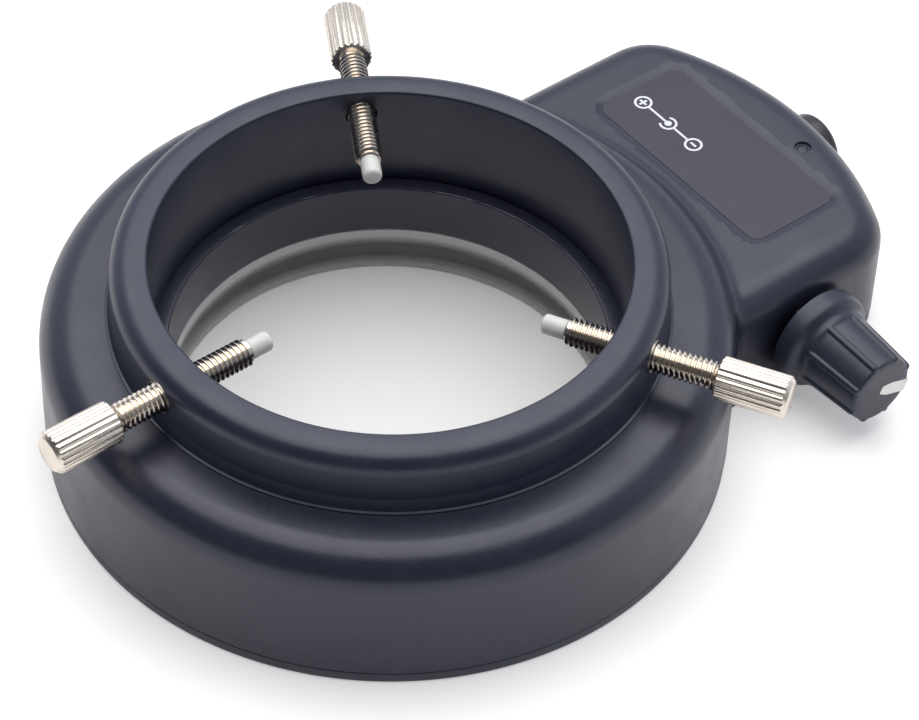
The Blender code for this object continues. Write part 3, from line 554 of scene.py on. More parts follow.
def lathe(name, profile, steps, place=IDENTITY):
    """Turn (radius, height) points about local Z; a profile off the axis closes on itself."""
    rings = [circle(radius, height, steps) for radius, height in profile]
    return skinned(name, rings, place, wrap=profile[0][0] > 0, caps=False)


def rod(name, radius, low, high, place, steps=32):
    """Plain cylinder."""
    return lathe(name, [(0, low), (radius, low), (radius, high), (0, high)], steps, place)


def prism(name, outline, levels, place=IDENTITY):
    """Stack inset copies of an outline; levels are (inset, height)."""
    rings = [[(x, y, height) for x, y in outline(inset)] for inset, height in levels]
    return skinned(name, rings, place)


def round_rectangle(length, width, corner, steps=6):
    """Outline of a rectangle with rounded corners, as a function of its inset."""
    def outline(inset):
        radius = max(corner - inset, LEAST_CORNER)
        x = length / 2 - inset - radius
        y = width / 2 - inset - radius
        points = []
        for side_x, side_y, start in ((1, 1, 0), (-1, 1, 90), (-1, -1, 180), (1, -1, 270)):
            points += arc(side_x * x, side_y * y, radius, start, start + 90, steps)
        return points
    return outline


def carve(target, tool, operation="DIFFERENCE", sharp=SHARP):
    """Apply an exact Boolean and drop the tool."""
    modifier = target.modifiers.new("cut", "BOOLEAN")
    modifier.operation = operation
    modifier.solver = "EXACT"
    modifier.object = tool
    graph = bpy.context.evaluated_depsgraph_get()
    mesh = bpy.data.meshes.new_from_object(target.evaluated_get(graph))
    target.modifiers.remove(modifier)
    target.data = mesh
    smooth(mesh, sharp)
    bpy.data.objects.remove(tool)


# Upper housing
def box_distance(x, y):
    """Distance in plan outside the control box's outline, negative inside."""
    y = np.abs(y)
    span = BOX_END - BOX_CORNER
    lean = math.asin(BOX_CORNER_Y / span)
    corner_x = BOX_END_X + span * math.cos(lean)
    to_side = y - BOX_HALF
    to_end = np.hypot(x - BOX_END_X, y) - BOX_END
    to_corner = np.hypot(x - corner_x, y - BOX_CORNER_Y) - BOX_CORNER
    bearing = np.arctan2(y - BOX_CORNER_Y, x - corner_x)
    in_corner = (bearing > lean) & (bearing < math.pi / 2)
    return np.where(in_corner, to_corner, np.maximum(to_side, to_end))


def rounded_edge(out, up, radius):
    """Distance from a form with one rounded upper edge."""
    out, up = out + radius, up + radius
    both = np.hypot(np.maximum(out, 0), np.maximum(up, 0))
    return np.where((out > 0) & (up > 0), both, np.maximum(out, up)) - radius


def shell_distance(r, theta, z):
    """Distance from the ring run into the control box with a small fillet."""
    crown = np.clip((SHOULDER_EDGE - r) / (SHOULDER_EDGE - COLLAR_WALL), 0, 1)
    top = SHOULDER_TOP + (SEAT - SHOULDER_TOP) * crown
    ring = rounded_edge(r - RING, z - top, SHOULDER_ROUND)
    x, y = r * np.cos(theta), r * np.sin(theta)
    box = rounded_edge(box_distance(x, y), z - BOX_TOP, BOX_ROUND)
    box = np.where(x > 0, box, BOX_REACH)
    mix = np.maximum(BLEND - np.abs(ring - box), 0) / BLEND
    return np.minimum(ring, box) - mix * mix * BLEND / 4


def shell_angles():
    """Directions of the shell's sections, closer together where the box joins the ring."""
    fine = np.linspace(-180, 180, ANGLE_SAMPLES)
    beyond = np.abs(fine) - math.degrees(math.asin(BOX_HALF / RING))
    weight = np.where(beyond < BOX_MARGIN, 1 / BOX_STEP, 1 / RING_STEP)
    weight = weight + (1 / JOIN_STEP) * np.exp(-(beyond / JOIN_SPREAD) ** 2)
    total = np.concatenate(([0], np.cumsum((weight[1:] + weight[:-1]) / 2 * np.diff(fine))))
    count = int(round(total[-1] / 2)) * 2
    return np.radians(np.interp(np.arange(count) * total[-1] / count, total, fine))


def trace_sections(angles):
    """Follow the shell's outer skin from the collar's seat down to its lower edge."""
    def slope(r, z):
        along_r = shell_distance(r + NUDGE, angles, z) - shell_distance(r - NUDGE, angles, z)
        along_z = shell_distance(r, angles, z + NUDGE) - shell_distance(r, angles, z - NUDGE)
        return along_r / (2 * NUDGE), along_z / (2 * NUDGE)

    def settle(r, z):
        for _ in range(SETTLE_ROUNDS):
            distance = shell_distance(r, angles, z)
            along_r, along_z = slope(r, z)
            size = np.maximum(along_r ** 2 + along_z ** 2, TINY)
            r, z = r - distance * along_r / size, z - distance * along_z / size
        return r, z

    r, z = settle(np.full(len(angles), SHOULDER_EDGE - TRACE_MARGIN), np.full(len(angles), SEAT))
    path = [(r.copy(), z.copy())]
    done = np.zeros(len(angles), bool)
    for _ in range(MOST_STEPS):
        along_r, along_z = slope(r, z)
        size = np.sqrt(along_r ** 2 + along_z ** 2)
        new_r, new_z = settle(r + TRACE_STEP * along_z / size, z - TRACE_STEP * along_r / size)
        r, z = np.where(done, r, new_r), np.where(done, z, new_z)
        low = (z <= SHELL_BASE) & ~done
        z = np.where(low, SHELL_BASE, z)
        done |= low
        path.append((r.copy(), z.copy()))
        if done.all():
            break
    return np.array([p[0] for p in path]), np.array([p[1] for p in path])


def resample(path_r, path_z):
    """Spread rows along each section, closer together where it bends."""
    out_r, out_z = [], []
    for column in range(path_r.shape[1]):
        r, z = path_r[:, column], path_z[:, column]
        keep = np.concatenate(([True], np.hypot(np.diff(r), np.diff(z)) > TINY))
        r, z = r[keep], z[keep]
        length = np.hypot(np.diff(r), np.diff(z))
        bearing = np.unwrap(np.arctan2(np.diff(z), np.diff(r)))
        turn = np.abs(np.gradient(bearing)) / length
        turn = np.convolve(turn, np.ones(BEND_WINDOW) / BEND_WINDOW, mode="same")
        weight = 1 / ROW_STEP + BEND_WEIGHT * np.minimum(turn, SHARPEST_BEND)
        weight = np.pad(weight, WEIGHT_WINDOW // 2, mode="edge")
        weight = np.convolve(weight, np.ones(WEIGHT_WINDOW) / WEIGHT_WINDOW, mode="valid")
        total = np.concatenate(([0], np.cumsum(weight * length)))
        want = np.linspace(0, total[-1], ROWS)
        out_r.append(np.interp(want, total, r))
        out_z.append(np.interp(want, total, z))
    return np.array(out_r).T, np.array(out_z).T


# Outer skin of the shell, which the bottom cover's outline follows
ANGLES = shell_angles()
SECTION_R, SECTION_Z = resample(*trace_sections(ANGLES))
EDGE_R = SECTION_R[-1]


def ring_at(radius, height):
    """One ring of the shell's grid; the radius may differ from section to section."""
    radius = np.broadcast_to(radius, ANGLES.shape)
    height = np.broadcast_to(height, ANGLES.shape)
    return [spin(*point) for point in zip(radius.tolist(), ANGLES.tolist(), height.tolist())]


def housing_shell():
    """Upper moulding: ring and control box in one, with pocket and throat."""
    inner = soften([
        (WINDOW_POCKET, SHELL_BASE, 0),
        (WINDOW_POCKET, WINDOW_SEAT, 0),
        (THROAT, WINDOW_SEAT, SOFT),
        (THROAT, LEDGE, EASED),
        (BORE - LEDGE_STEP, LEDGE, FINE),
        (BORE - LEDGE_STEP, LEDGE - LEDGE_STEP, 0),
        (POCKET, LEDGE - LEDGE_STEP, 0),
        (POCKET, SEAT, SLIGHT),
    ], closed=False)
    grid = [
        (COLLAR_WALL - OVERRUN, SEAT),
        *zip(SECTION_R[:-1], SECTION_Z[:-1]),
        (EDGE_R, SHELL_BASE + SHELL_EDGE),
        (EDGE_R - SHELL_EDGE, SHELL_BASE),
        *inner,
    ]
    shell = skinned("housing_shell", [ring_at(r, z) for r, z in grid], wrap=True)
    carve(shell, ring_cavity())
    carve(shell, box_cavity())
    add_bosses(shell)
    add_box_recesses(shell)
    return shell


def ring_cavity():
    """Space for the lamps, under the ring's roof."""
    low = SHELL_BASE - OVERRUN
    roof = SHOULDER_TOP - SHELL_WALL
    floor_height = LEDGE - SHELL_WALL
    return lathe("ring_cavity", [
        (RING - SHELL_WALL, low),
        (RING - SHELL_WALL, SHOULDER_START),
        (SHOULDER_EDGE, roof),
        (POCKET + SHELL_WALL, roof),
        (POCKET + SHELL_WALL, floor_height),
        (THROAT + SHELL_WALL, floor_height),
        (THROAT + SHELL_WALL, low),
    ], steps=128)


def box_cavity():
    """Space inside the control box."""
    levels = [
        (SHELL_WALL, SHELL_BASE - OVERRUN),
        (SHELL_WALL, BOX_TOP - BOX_ROUND),
        (CAVITY_BEND_INSET, CAVITY_BEND),
        (BOX_ROUND, BOX_TOP - SHELL_WALL),
    ]

    def outline(inset):
        corner = BOX_CORNER - inset
        return [
            (CAVITY_START, inset - BOX_HALF),
            *arc(CAVITY_CORNER, -BOX_CORNER_Y, corner, -90, CAVITY_CORNER_ARC - 90, 8),
            *arc(BOX_END_X, 0, BOX_END - inset, -CAVITY_END_ARC, CAVITY_END_ARC, 12),
            *arc(CAVITY_CORNER, BOX_CORNER_Y, corner, 90 - CAVITY_CORNER_ARC, 90, 8),
            (CAVITY_START, BOX_HALF - inset),
        ]
    return prism("box_cavity", outline, levels)


def add_bosses(shell):
    """Screw bosses inside the shell, with their pilot holes."""
    for x, y, top in BOSSES:
        carve(shell, rod("boss", BOSS, BOSS_BASE, top, at(x, y, 0), 24), "UNION")
    for x, y, _ in BOSSES:
        carve(shell, rod("pilot", PILOT, BOSS_BASE - 2 * OVERRUN, PILOT_TOP, at(x, y, 0), 16))


def add_box_recesses(shell):
    """Label recess, round blind recess, and the holes of the dimmer and the socket."""
    outline = round_rectangle(RECESS_LENGTH, RECESS_WIDTH, RECESS_CORNER)
    levels = [
        (RECESS_BEND_INSET, -RECESS_DEPTH), (0.0, RECESS_BEND - RECESS_DEPTH),
        (-RECESS_BRINK, -RECESS_BEND), (-RECESS_REACH, 0.0), (-RECESS_REACH, OVERRUN),
    ]
    carve(shell, prism("label_cut", outline, levels, at(LABEL_X, 0, BOX_TOP)))
    dimple = soften([
        (0, -DISC_DEPTH, 0), (DISC, -DISC_DEPTH, FINE), (DISC_FOOT, -DIMPLE_DEPTH, FINE),
        (DIMPLE_FLOOR, -DIMPLE_DEPTH, FINE), (DIMPLE_WALL, -DIMPLE_BRINK, FINE),
        (DIMPLE, HAIR, 0), (DIMPLE, OVERRUN, 0), (0, OVERRUN, 0),
    ], closed=False)
    carve(shell, lathe("dimple_cut", dimple, 40, at(DIMPLE_X, DIMPLE_Y, BOX_TOP)))
    carve(shell, rod("dimmer_cut", DIMMER_HOLE, *DIMMER_HOLE_ENDS, KNOB_AXIS))
    carve(shell, rod("socket_cut", SOCKET_HOLE, *SOCKET_HOLE_ENDS, SOCKET_AXIS))


# Collar and bottom cover
def collar():
    """Collar round the microscope, with a rounded lip and a flared foot."""
    lip = arc(LIP_FLAT, COLLAR_TOP - LIP_ROUND, LIP_ROUND, 0, 90, 15)
    ring = lathe("collar", soften([
        (BORE, LEDGE, SLIGHT),
        (SLEEVE, LEDGE, SLIGHT),
        (SLEEVE, COLLAR_FOOT, 0),
        (FOOT, COLLAR_FOOT, FOOT_ROUNDS[0]),
        (FOOT, COLLAR_FOOT + FINE, FOOT_ROUNDS[1]),
        (FOOT - FOOT_SLOPE, COLLAR_FOOT + FOOT_RISE, FOOT_ROUNDS[2]),
        (COLLAR_WALL - FINE, WALL_BASE, WALL_ROUND),
        *[(x, y, 0) for x, y in lip],
        (BORE, COLLAR_TOP, BORE_ROUND),
    ], steps=5), steps=224)
    hole = [
        (0, BORE - 2 * OVERRUN), (HOLE_MOUTH, BORE - 2 * OVERRUN), (HOLE, BORE + SOFT),
        (HOLE, INSERT_STOP), (INSERT_HOLE, INSERT_STOP), (INSERT_HOLE, COLLAR_WALL + OVERRUN),
        (0, COLLAR_WALL + OVERRUN),
    ]
    for degrees, _ in SCREWS:
        carve(ring, lathe("insert_cut", hole, 40, screw_axis(degrees)))
    return ring


def cover():
    """Flat bottom cover with its screw holes."""
    edge = EDGE_R - FINE
    grid = [
        (COVER_HOLE, SLIGHT), (COVER_HOLE, COVER_TOP - SLIGHT), (COVER_HOLE + SLIGHT, COVER_TOP),
        (edge - RIM_WIDTH - FINE, COVER_TOP), (edge - RIM_WIDTH, COVER_RIM),
        (edge - FINE, COVER_RIM), (edge, COVER_RIM - RIM_EDGE), (edge, COVER_ROUND),
        (edge - COVER_BEVEL, COVER_BEVEL), (edge - COVER_ROUND, 0.0), (COVER_HOLE + SLIGHT, 0.0),
    ]
    plate = skinned("cover", [ring_at(r, z) for r, z in grid], wrap=True)
    hole = [
        (0, -OVERRUN), (SINK + SLIGHT, -OVERRUN), (SINK + SLIGHT, -HAIR), (SINK, FINE),
        (SINK, SINK_FLOOR), (PILOT, SINK_FLOOR), (PILOT, COVER_TOP + OVERRUN),
        (0, COVER_TOP + OVERRUN),
    ]
    for x, y, _ in BOSSES:
        carve(plate, lathe("screw_cut", hole, 24, at(x, y, 0)))
    return plate


# Window and lamps
def window():
    """Clear ring under the lamps, with the tube that lines the throat."""
    profile = soften([
        (THROAT, WINDOW_BASE, EASED), (WINDOW_EDGE, WINDOW_BASE, SOFT),
        (WINDOW_EDGE, SHELL_BASE, 0), (WINDOW_FLANGE, SHELL_BASE, SLIGHT),
        (WINDOW_FLANGE, WINDOW_TOP, SLIGHT), (TUBE, WINDOW_TOP, ROUND),
        (TUBE, TUBE_TOP, SOFT), (THROAT, TUBE_TOP, SOFT),
    ])
    return lathe("window", profile, steps=192)


def board():
    """Lamp board."""
    profile = soften([
        (BOARD_HOLE, BOARD_BASE, HAIR), (BOARD_EDGE, BOARD_BASE, HAIR),
        (BOARD_EDGE, BOARD_TOP, HAIR), (BOARD_HOLE, BOARD_TOP, HAIR),
    ], steps=1)
    return lathe("lamp_disc", profile, steps=128)


def at_lamps(name, profile, steps):
    """One mesh with a turned form at each lamp of both rows, facing down."""
    bm = bmesh.new()
    for index in range(LAMPS_IN_ROW):
        for radius, shift in LAMP_ROWS:
            turn = Matrix.Rotation(math.tau * (index + shift) / LAMPS_IN_ROW, 4, "Z")
            place = turn @ at(radius, 0, BOARD_BASE) @ turned(180, "X")
            rings = [circle(reach, height, steps) for reach, height in profile]
            skin(bm, [[place @ Vector(point) for point in ring] for ring in rings], caps=False)
    return make_object(name, bm)


def lamps():
    """Clear domed bodies of the lamps."""
    return at_lamps("lamps", [
        (0, LAMP_LIFT), (LAMP - FINE, LAMP_LIFT), (LAMP + HAIR, LAMP_LIFT + FINE),
        (LAMP + HAIR, LAMP_COLLAR - FINE), (LAMP, LAMP_COLLAR),
        *arc(0, LAMP_DOME, LAMP, 0, 90, 6),
    ], steps=20)


def lamp_cups():
    """Small cups inside the lamps, round the lit dot."""
    return at_lamps("lamp_cups", [
        (0, CUP_FLOOR), (CUP_STEM + FINE, CUP_FLOOR), (CUP - FINE, CUP_TOP), (CUP, CUP_TOP),
        (CUP, CUP_BELLY), (CUP_STEM, CUP_NECK), (CUP_STEM, CUP_BASE), (0, CUP_BASE),
    ], steps=12)


def lamp_dots():
    """Yellow dots at the floor of the cups."""
    return at_lamps("lamp_dots", [
        (0, DOT_BASE), (DOT_FOOT, DOT_BASE), (DOT, DOT_EDGE), (0, DOT_TOP),
    ], steps=12)


# Thumbscrews, their tips and their inserts
def thread_rows(start, end):
    """Rows of points along a helical thread; the rows climb one pitch in each turn."""
    rows = []
    for turn in range(-1, int((end - start) / PITCH) + 2):
        for share, depth in THREAD_SHARES:
            row = []
            for k in range(THREAD_STEPS):
                z = start + (turn + share + k / THREAD_STEPS) * PITCH
                lead = max(0.0, (z - start) / THREAD_LEAD)
                runout = max(0.0, (end - z) / THREAD_RUNOUT)
                radius = THREAD_ROOT + (THREAD - THREAD_ROOT) * depth * min(1.0, lead, runout)
                height = min(max(z, start), end)
                row.append(spin(radius, math.tau * k / THREAD_STEPS, height))
            rows.append(row)
    return rows


def screw_thread(name, degrees, reach):
    """Threaded shank of a screw; each row runs on into the row one pitch higher."""
    start = TIP_LENGTH + FINE
    end = SCREW_TOTAL - HEAD_LENGTH + FINE
    climb = len(THREAD_SHARES)
    bm = bmesh.new()
    grid = [[bm.verts.new(point) for point in row] for row in thread_rows(start, end)]
    for i in range(len(grid) - 1):
        for k in range(THREAD_STEPS - 1):
            bm.faces.new((grid[i][k], grid[i][k + 1], grid[i + 1][k + 1], grid[i + 1][k]))
        if i + climb + 1 < len(grid):
            bm.faces.new((grid[i][-1], grid[i + climb][0], grid[i + climb + 1][0], grid[i + 1][-1]))
    clean(bm)
    loose = [vert for vert in bm.verts if not vert.link_faces]
    bmesh.ops.delete(bm, geom=loose, context="VERTS")
    fill_holes(bm)
    return make_object(name, bm, screw_axis(degrees, reach), SHARP_CARVED)


def screw_head(name, degrees, reach):
    """Ribbed head of a screw, chamfered at both ends."""
    start, end = SCREW_TOTAL - HEAD_LENGTH, SCREW_TOTAL
    levels = [
        (0.0, start), (HEAD_CORE, start),
        *[(HEAD - inset, start + along) for inset, along in HEAD_NECK_CHAMFER],
        *[(HEAD - inset, end - along) for inset, along in HEAD_END_CHAMFER],
        (0.0, end),
    ]
    count = RIBS * RIB_STEPS
    rings = []
    for limit, z in levels:
        ring = []
        for k in range(count):
            angle = math.tau * k / count
            dip = (0.5 - 0.5 * math.cos(angle * RIBS)) ** RIB_POWER
            ring.append(spin(min(limit, HEAD - RIB_DEPTH * dip), angle, z))
        rings.append(ring)
    return skinned(name, rings, screw_axis(degrees, reach), SHARP_RIBBED, caps=False)


def nylon_tip(name, degrees, reach):
    """Soft tip in the end of a screw."""
    end = TIP_LENGTH + STEM_LENGTH
    profile = soften([
        (0, 0, 0), (TIP, 0, TIP_ROUND), (TIP, TIP_LENGTH, FINE), (STEM, TIP_LENGTH, 0),
        (STEM, end, FINE), (0, end, 0),
    ], closed=False, steps=5)
    return lathe(name, profile, 40, screw_axis(degrees, reach))


def insert(name, degrees):
    """Threaded bush in the collar."""
    profile = soften([
        (INSERT_BORE, INSERT_START, FINE), (INSERT, INSERT_START, FINE),
        (INSERT, INSERT_END, INSERT_ROUND), (INSERT_MOUTH, INSERT_END, INSERT_LIP),
        (INSERT_BORE, INSERT_MOUTH_START, HAIR),
    ], steps=2)
    return lathe(name, profile, 48, screw_axis(degrees))


# Knob and socket
def flute_depth(turn):
    """Depth across a flute, from rib to rib: steep flanks and a slight bow."""
    off_rib = min(turn, 1 - turn)
    rise = min(1.0, max(0.0, (off_rib - RIB_SHARE) / FLANK_SHARE))
    rise = rise * rise * (3 - 2 * rise)
    return FLUTE_DEPTH * (rise + FLUTE_BOW * math.sin(math.pi * turn))


def knob():
    """Dimmer knob: round skirt, tapered cap with broad flutes between narrow ribs."""
    levels = [
        *[(radius, KNOB_BACK + up, 0) for radius, up in HOLLOW_LEVELS],
        *[(SKIRT - inset, KNOB_BACK + up, 0) for inset, up in SKIRT_LEVELS],
        *[(CAP - inset, KNOB_BACK + up, share) for inset, up, share in CAP_LEVELS],
        *[(CAP_FRONT - inset, KNOB_FRONT - down, share) for inset, down, share in FRONT_LEVELS],
    ]
    count = FLUTES * FLUTE_STEPS
    rings = []
    for radius, z, share in levels:
        ring = []
        for k in range(count):
            depth = share * flute_depth((k % FLUTE_STEPS) / FLUTE_STEPS)
            angle = math.radians(FLUTE_START) + math.tau * k / count
            ring.append(spin(radius - depth, angle, z))
        rings.append(ring)
    bm = bmesh.new()
    skin(bm, rings, caps=False)
    fill_holes(bm)
    body = make_object("dimmer_knob", bm, KNOB_AXIS, SHARP_CARVED)
    carve(body, rod("knob_bore", KNOB_BORE, *KNOB_BORE_ENDS, KNOB_AXIS), sharp=SHARP_CARVED)
    carve(body, pointer_form("pointer_cut", POINTER_GAP, OVERRUN), sharp=SHARP_CARVED)
    return body


def pointer_form(name, gap=0.0, overrun=0.0):
    """Blade-shaped mark from the middle of the knob's face to its rim."""
    half = POINTER_HALF + gap
    reach = POINTER_REACH + overrun
    butt = half * POINTER_BUTT_SHARE
    outline = soften([
        (-gap, -butt, POINTER_BUTT_ROUND), (POINTER_BEND, -half, POINTER_BEND_ROUND),
        (reach, -half, 0), (reach, half, 0),
        (POINTER_BEND, half, POINTER_BEND_ROUND), (-gap, butt, POINTER_BUTT_ROUND),
    ], steps=4)
    heights = (KNOB_FRONT - POINTER_DEPTH - gap, KNOB_FRONT + overrun)
    rings = [[(x, y, z) for x, y in outline] for z in heights]
    return skinned(name, rings, KNOB_AXIS @ turned(POINTER_TURN, "Z"), SHARP_CARVED)


def socket():
    """Round power socket with a deep mouth."""
    profile = soften([
        (PIN_HOLE, SOCKET_BACK, 0), (SOCKET_BARREL, SOCKET_BACK, SOFT),
        (SOCKET_BARREL, FLANGE_BACK, 0), (SOCKET_FLANGE, FLANGE_BACK, SOFT),
        (SOCKET_FLANGE, SOCKET_FACE, FLANGE_ROUND), (MOUTH, SOCKET_FACE, EASED),
        (MOUTH, MOUTH_FLOOR, 0), (PIN_HOLE, MOUTH_FLOOR, 0),
    ], steps=5)
    return lathe("socket", profile, 64, SOCKET_AXIS)


def socket_pin():
    """Centre pin of the socket."""
    profile = soften([
        (0, SOCKET_BACK, 0), (PIN, SOCKET_BACK, 0), (PIN, PIN_END, PIN_ROUND), (0, PIN_END, 0),
    ], closed=False, steps=4)
    return lathe("pin", profile, 28, SOCKET_AXIS)


# Label, sign and cover screws
def label():
    """Bare film label in the recess."""
    length, width = RECESS_LENGTH + FILM_LAP, RECESS_WIDTH + FILM_LAP
    outline = round_rectangle(length, width, RECESS_CORNER + FINE)
    return prism("label", outline, FILM_LEVELS, at(LABEL_X, 0, BOX_TOP))


def flat_ring(bm, y, outer, inner, start=0.0, sweep=360.0, steps=40):
    """Thin printed arc on the sign's middle line, which runs along Y."""
    count = int(steps * sweep / 360)
    rows = []
    for radius, z in ((inner, 0.0), (inner, INK), (outer, INK), (outer, 0.0)):
        points = arc(0.0, y, radius, start, start + sweep, count)
        rows.append([bm.verts.new((px, py, z)) for px, py in points])
    for lower, upper in zip(rows, rows[1:] + rows[:1]):
        for k in range(count):
            bm.faces.new((lower[k], lower[k + 1], upper[k + 1], upper[k]))
    if sweep < 360:
        bm.faces.new([row[0] for row in rows])
        bm.faces.new([row[-1] for row in rows][::-1])


def flat_bar(bm, y, across, along):
    """Thin printed bar on the sign's middle line."""
    corners = ((-1, -1), (1, -1), (1, 1), (-1, 1))
    outline = [(side * across / 2, y + end * along / 2) for side, end in corners]
    skin(bm, [[(px, py, z) for px, py in outline] for z in (0.0, INK)])


def polarity_sign():
    """Usual sign of a centre-positive socket, printed on the label."""
    bm = bmesh.new()
    for y in (-SIGN_REACH, SIGN_REACH):
        flat_ring(bm, y, SIGN_ROUND, SIGN_ROUND - LINE)
    flat_bar(bm, -SIGN_REACH, LINE, MINUS_LENGTH)
    flat_bar(bm, SIGN_REACH, PLUS_LENGTH, LINE)
    for side in (-PLUS_ARM_PLACE, PLUS_ARM_PLACE):
        flat_bar(bm, SIGN_REACH + side, LINE, PLUS_ARM)
    flat_ring(bm, 0.0, SIGN_ROUND, SIGN_ROUND - LINE, SIGN_ARC_START, SIGN_ARC_SWEEP)
    flat_ring(bm, 0.0, SIGN_DOT, 0.0)
    stem_end = SIGN_REACH - SIGN_ROUND
    flat_bar(bm, (SIGN_STEM + stem_end) / 2, LINE, stem_end - SIGN_STEM + HAIR)
    flat_bar(bm, -SIGN_REACH / 2, LINE, SIGN_REACH - 2 * SIGN_ROUND + FINE)
    return make_object("polarity_sign", bm, at(SIGN_X, SIGN_Y, BOX_TOP + FILM_TOP))


def cover_screw(name, x, y):
    """Small screw with a cross recess, head down."""
    profile = soften([
        (0, FINE, 0), (COVER_SCREW_HEAD, FINE, SOFT), (COVER_SCREW_HEAD, COVER_HEAD_TOP, HAIR),
        (COVER_SCREW, COVER_HEAD_TOP, 0), (COVER_SCREW, COVER_SCREW_SHOULDER, SOFT),
        (0, COVER_SCREW_END, 0),
    ], closed=False)
    place = at(x, y, 0)
    screw = lathe(name, profile, 32, place)
    slot = round_rectangle(CROSS_LENGTH, CROSS_WIDTH, FINE, 2)
    for degrees in (45, 135):
        carve(screw, prism("slot", slot, CROSS_LEVELS, place @ turned(degrees, "Z")))
    return screw


# Materials
class Tree:
    """Shorthand for a node tree."""

    def __init__(self, tree):
        self.tree = tree

    def add(self, kind, **settings):
        node = self.tree.nodes.new(kind)
        for key, value in settings.items():
            setattr(node, key, value)
        return node

    def feed(self, socket, value):
        """Link a socket to a source, or give it a plain value."""
        if isinstance(value, bpy.types.NodeSocket):
            self.tree.links.new(value, socket)
        else:
            socket.default_value = value

    def fill(self, node, **values):
        """Feed a node's sockets by their names."""
        for key, value in values.items():
            self.feed(node.inputs[key.replace("_", " ")], value)
        return node

    def calc(self, kind, operation, *values):
        """Math or VectorMath node, fed in order."""
        node = self.add("ShaderNode" + kind, operation=operation)
        for socket, value in zip(node.inputs, values):
            self.feed(socket, value)
        return node


class Material(Tree):
    """One node material, with textures in the object's own coordinates."""

    def __init__(self, name):
        self.material = bpy.data.materials.new(name)
        self.material.use_nodes = True
        super().__init__(self.material.node_tree)
        self.place = self.add("ShaderNodeTexCoord").outputs["Object"]

    def noise(self, scale, detail=3.0, rough=0.55, stretch=None):
        place = self.place
        if stretch:
            mapping = self.fill(self.add("ShaderNodeMapping"), Vector=place, Scale=stretch)
            place = mapping.outputs["Vector"]
        node = self.add("ShaderNodeTexNoise")
        self.fill(node, Vector=place, Scale=scale, Detail=detail, Roughness=rough)
        return node.outputs["Fac"]

    def span(self, value, low, high, start=0.3, end=0.7):
        """Map a stretch of a value to new ends."""
        node = self.add("ShaderNodeMapRange")
        self.fill(node, Value=value, From_Min=start, From_Max=end, To_Min=low, To_Max=high)
        return node.outputs["Result"]

    def height(self, vector):
        """Upward part of a vector."""
        return self.fill(self.add("ShaderNodeSeparateXYZ"), Vector=vector).outputs["Z"]

    def blend(self, factor, first, second, **settings):
        """Mix two colours, each plain or from a source."""
        node = self.add("ShaderNodeMix", data_type="RGBA", **settings)
        colors = [(*color, 1) if isinstance(color, tuple) else color for color in (first, second)]
        return self.fill(node, Factor=factor, A=colors[0], B=colors[1]).outputs["Result"]

    def clouded(self, scale, detail, first, second):
        """Two colours in soft patches."""
        return self.blend(self.span(self.noise(scale, detail), 0, 1), first, second)

    def bump(self, height, distance, strength=1.0, **after):
        node = self.add("ShaderNodeBump")
        self.fill(node, Height=height, Distance=distance, Strength=strength, **after)
        return node.outputs["Normal"]

    def finish(self, **values):
        """Feed the shader and return the material."""
        self.fill(self.tree.nodes["Principled BSDF"], **values)
        return self.material


def plastic(name, color, lighter, rough, sheen=(1, 1, 1), speckle=0.18, grain=5200.0,
            relief=0.000004):
    """Moulded plastic with a fine texture, faint clouding and uneven sheen."""
    n = Material(name)
    cloud = n.clouded(CLOUDS, 4.0, color, lighter)
    speck = n.clouded(SPECKS, 2.0, (1 - speckle,) * 3, (1 + speckle,) * 3)
    fine = n.bump(n.noise(grain, 2.0), relief)
    return n.finish(
        Base_Color=n.blend(1.0, cloud, speck, blend_type="MULTIPLY"),
        Roughness=n.span(n.noise(PATCHES, 4.0), rough - ROUGH_SPREAD, rough + ROUGH_SPREAD),
        Normal=n.bump(n.noise(SCUFFS), SCUFF_RELIEF, 0.8, Normal=fine),
        IOR=1.53,
        Specular_Tint=(*sheen, 1),
    )


def metal(name, color, darker, rough, brush=None):
    """Plated or turned metal with faint streaks and stains."""
    n = Material(name)
    return n.finish(
        Metallic=1.0,
        Base_Color=n.clouded(STAINS, 4.0, color, darker),
        Roughness=n.span(n.noise(SCUFFS), rough * 0.75, rough * 1.3),
        Normal=n.bump(n.noise(STREAKS, 3.0, 0.6, brush), STREAK_RELIEF, 0.7),
    )


def thread_metal():
    """Plated thread, with painted shade on the flanks that turn down."""
    n = Material("nickel_thread")
    plated = n.clouded(STAINS, 4.0, (0.75, 0.675, 0.59), (0.66, 0.59, 0.51))
    facing = n.height(n.add("ShaderNodeNewGeometry").outputs["Normal"])
    return n.finish(
        Metallic=1.0,
        # Flanks that face down are blended to a dark purple: painted shade, not a property of the
        # plating.
        Base_Color=n.blend(n.span(facing, 0, 1, -0.25, 0.35), (0.085, 0.06, 0.075), plated),
        Roughness=n.span(n.noise(SCUFFS), 0.15, 0.26),
        Normal=n.bump(n.noise(STREAKS, 3.0, 0.6), STREAK_RELIEF, 0.7),
    )


def nylon():
    """Natural nylon, milky and slightly see-through."""
    n = Material("nylon")
    return n.finish(
        Base_Color=n.clouded(600.0, 3.0, (0.66, 0.65, 0.62), (0.58, 0.575, 0.555)),
        Roughness=n.span(n.noise(900.0), 0.35, 0.5),
        Normal=n.bump(n.noise(3500.0, 2.0), 0.00001, 0.6),
        Subsurface_Weight=0.6,
        Subsurface_Radius=(1.0, 1.0, 1.0),
        Subsurface_Scale=0.0012,
    )


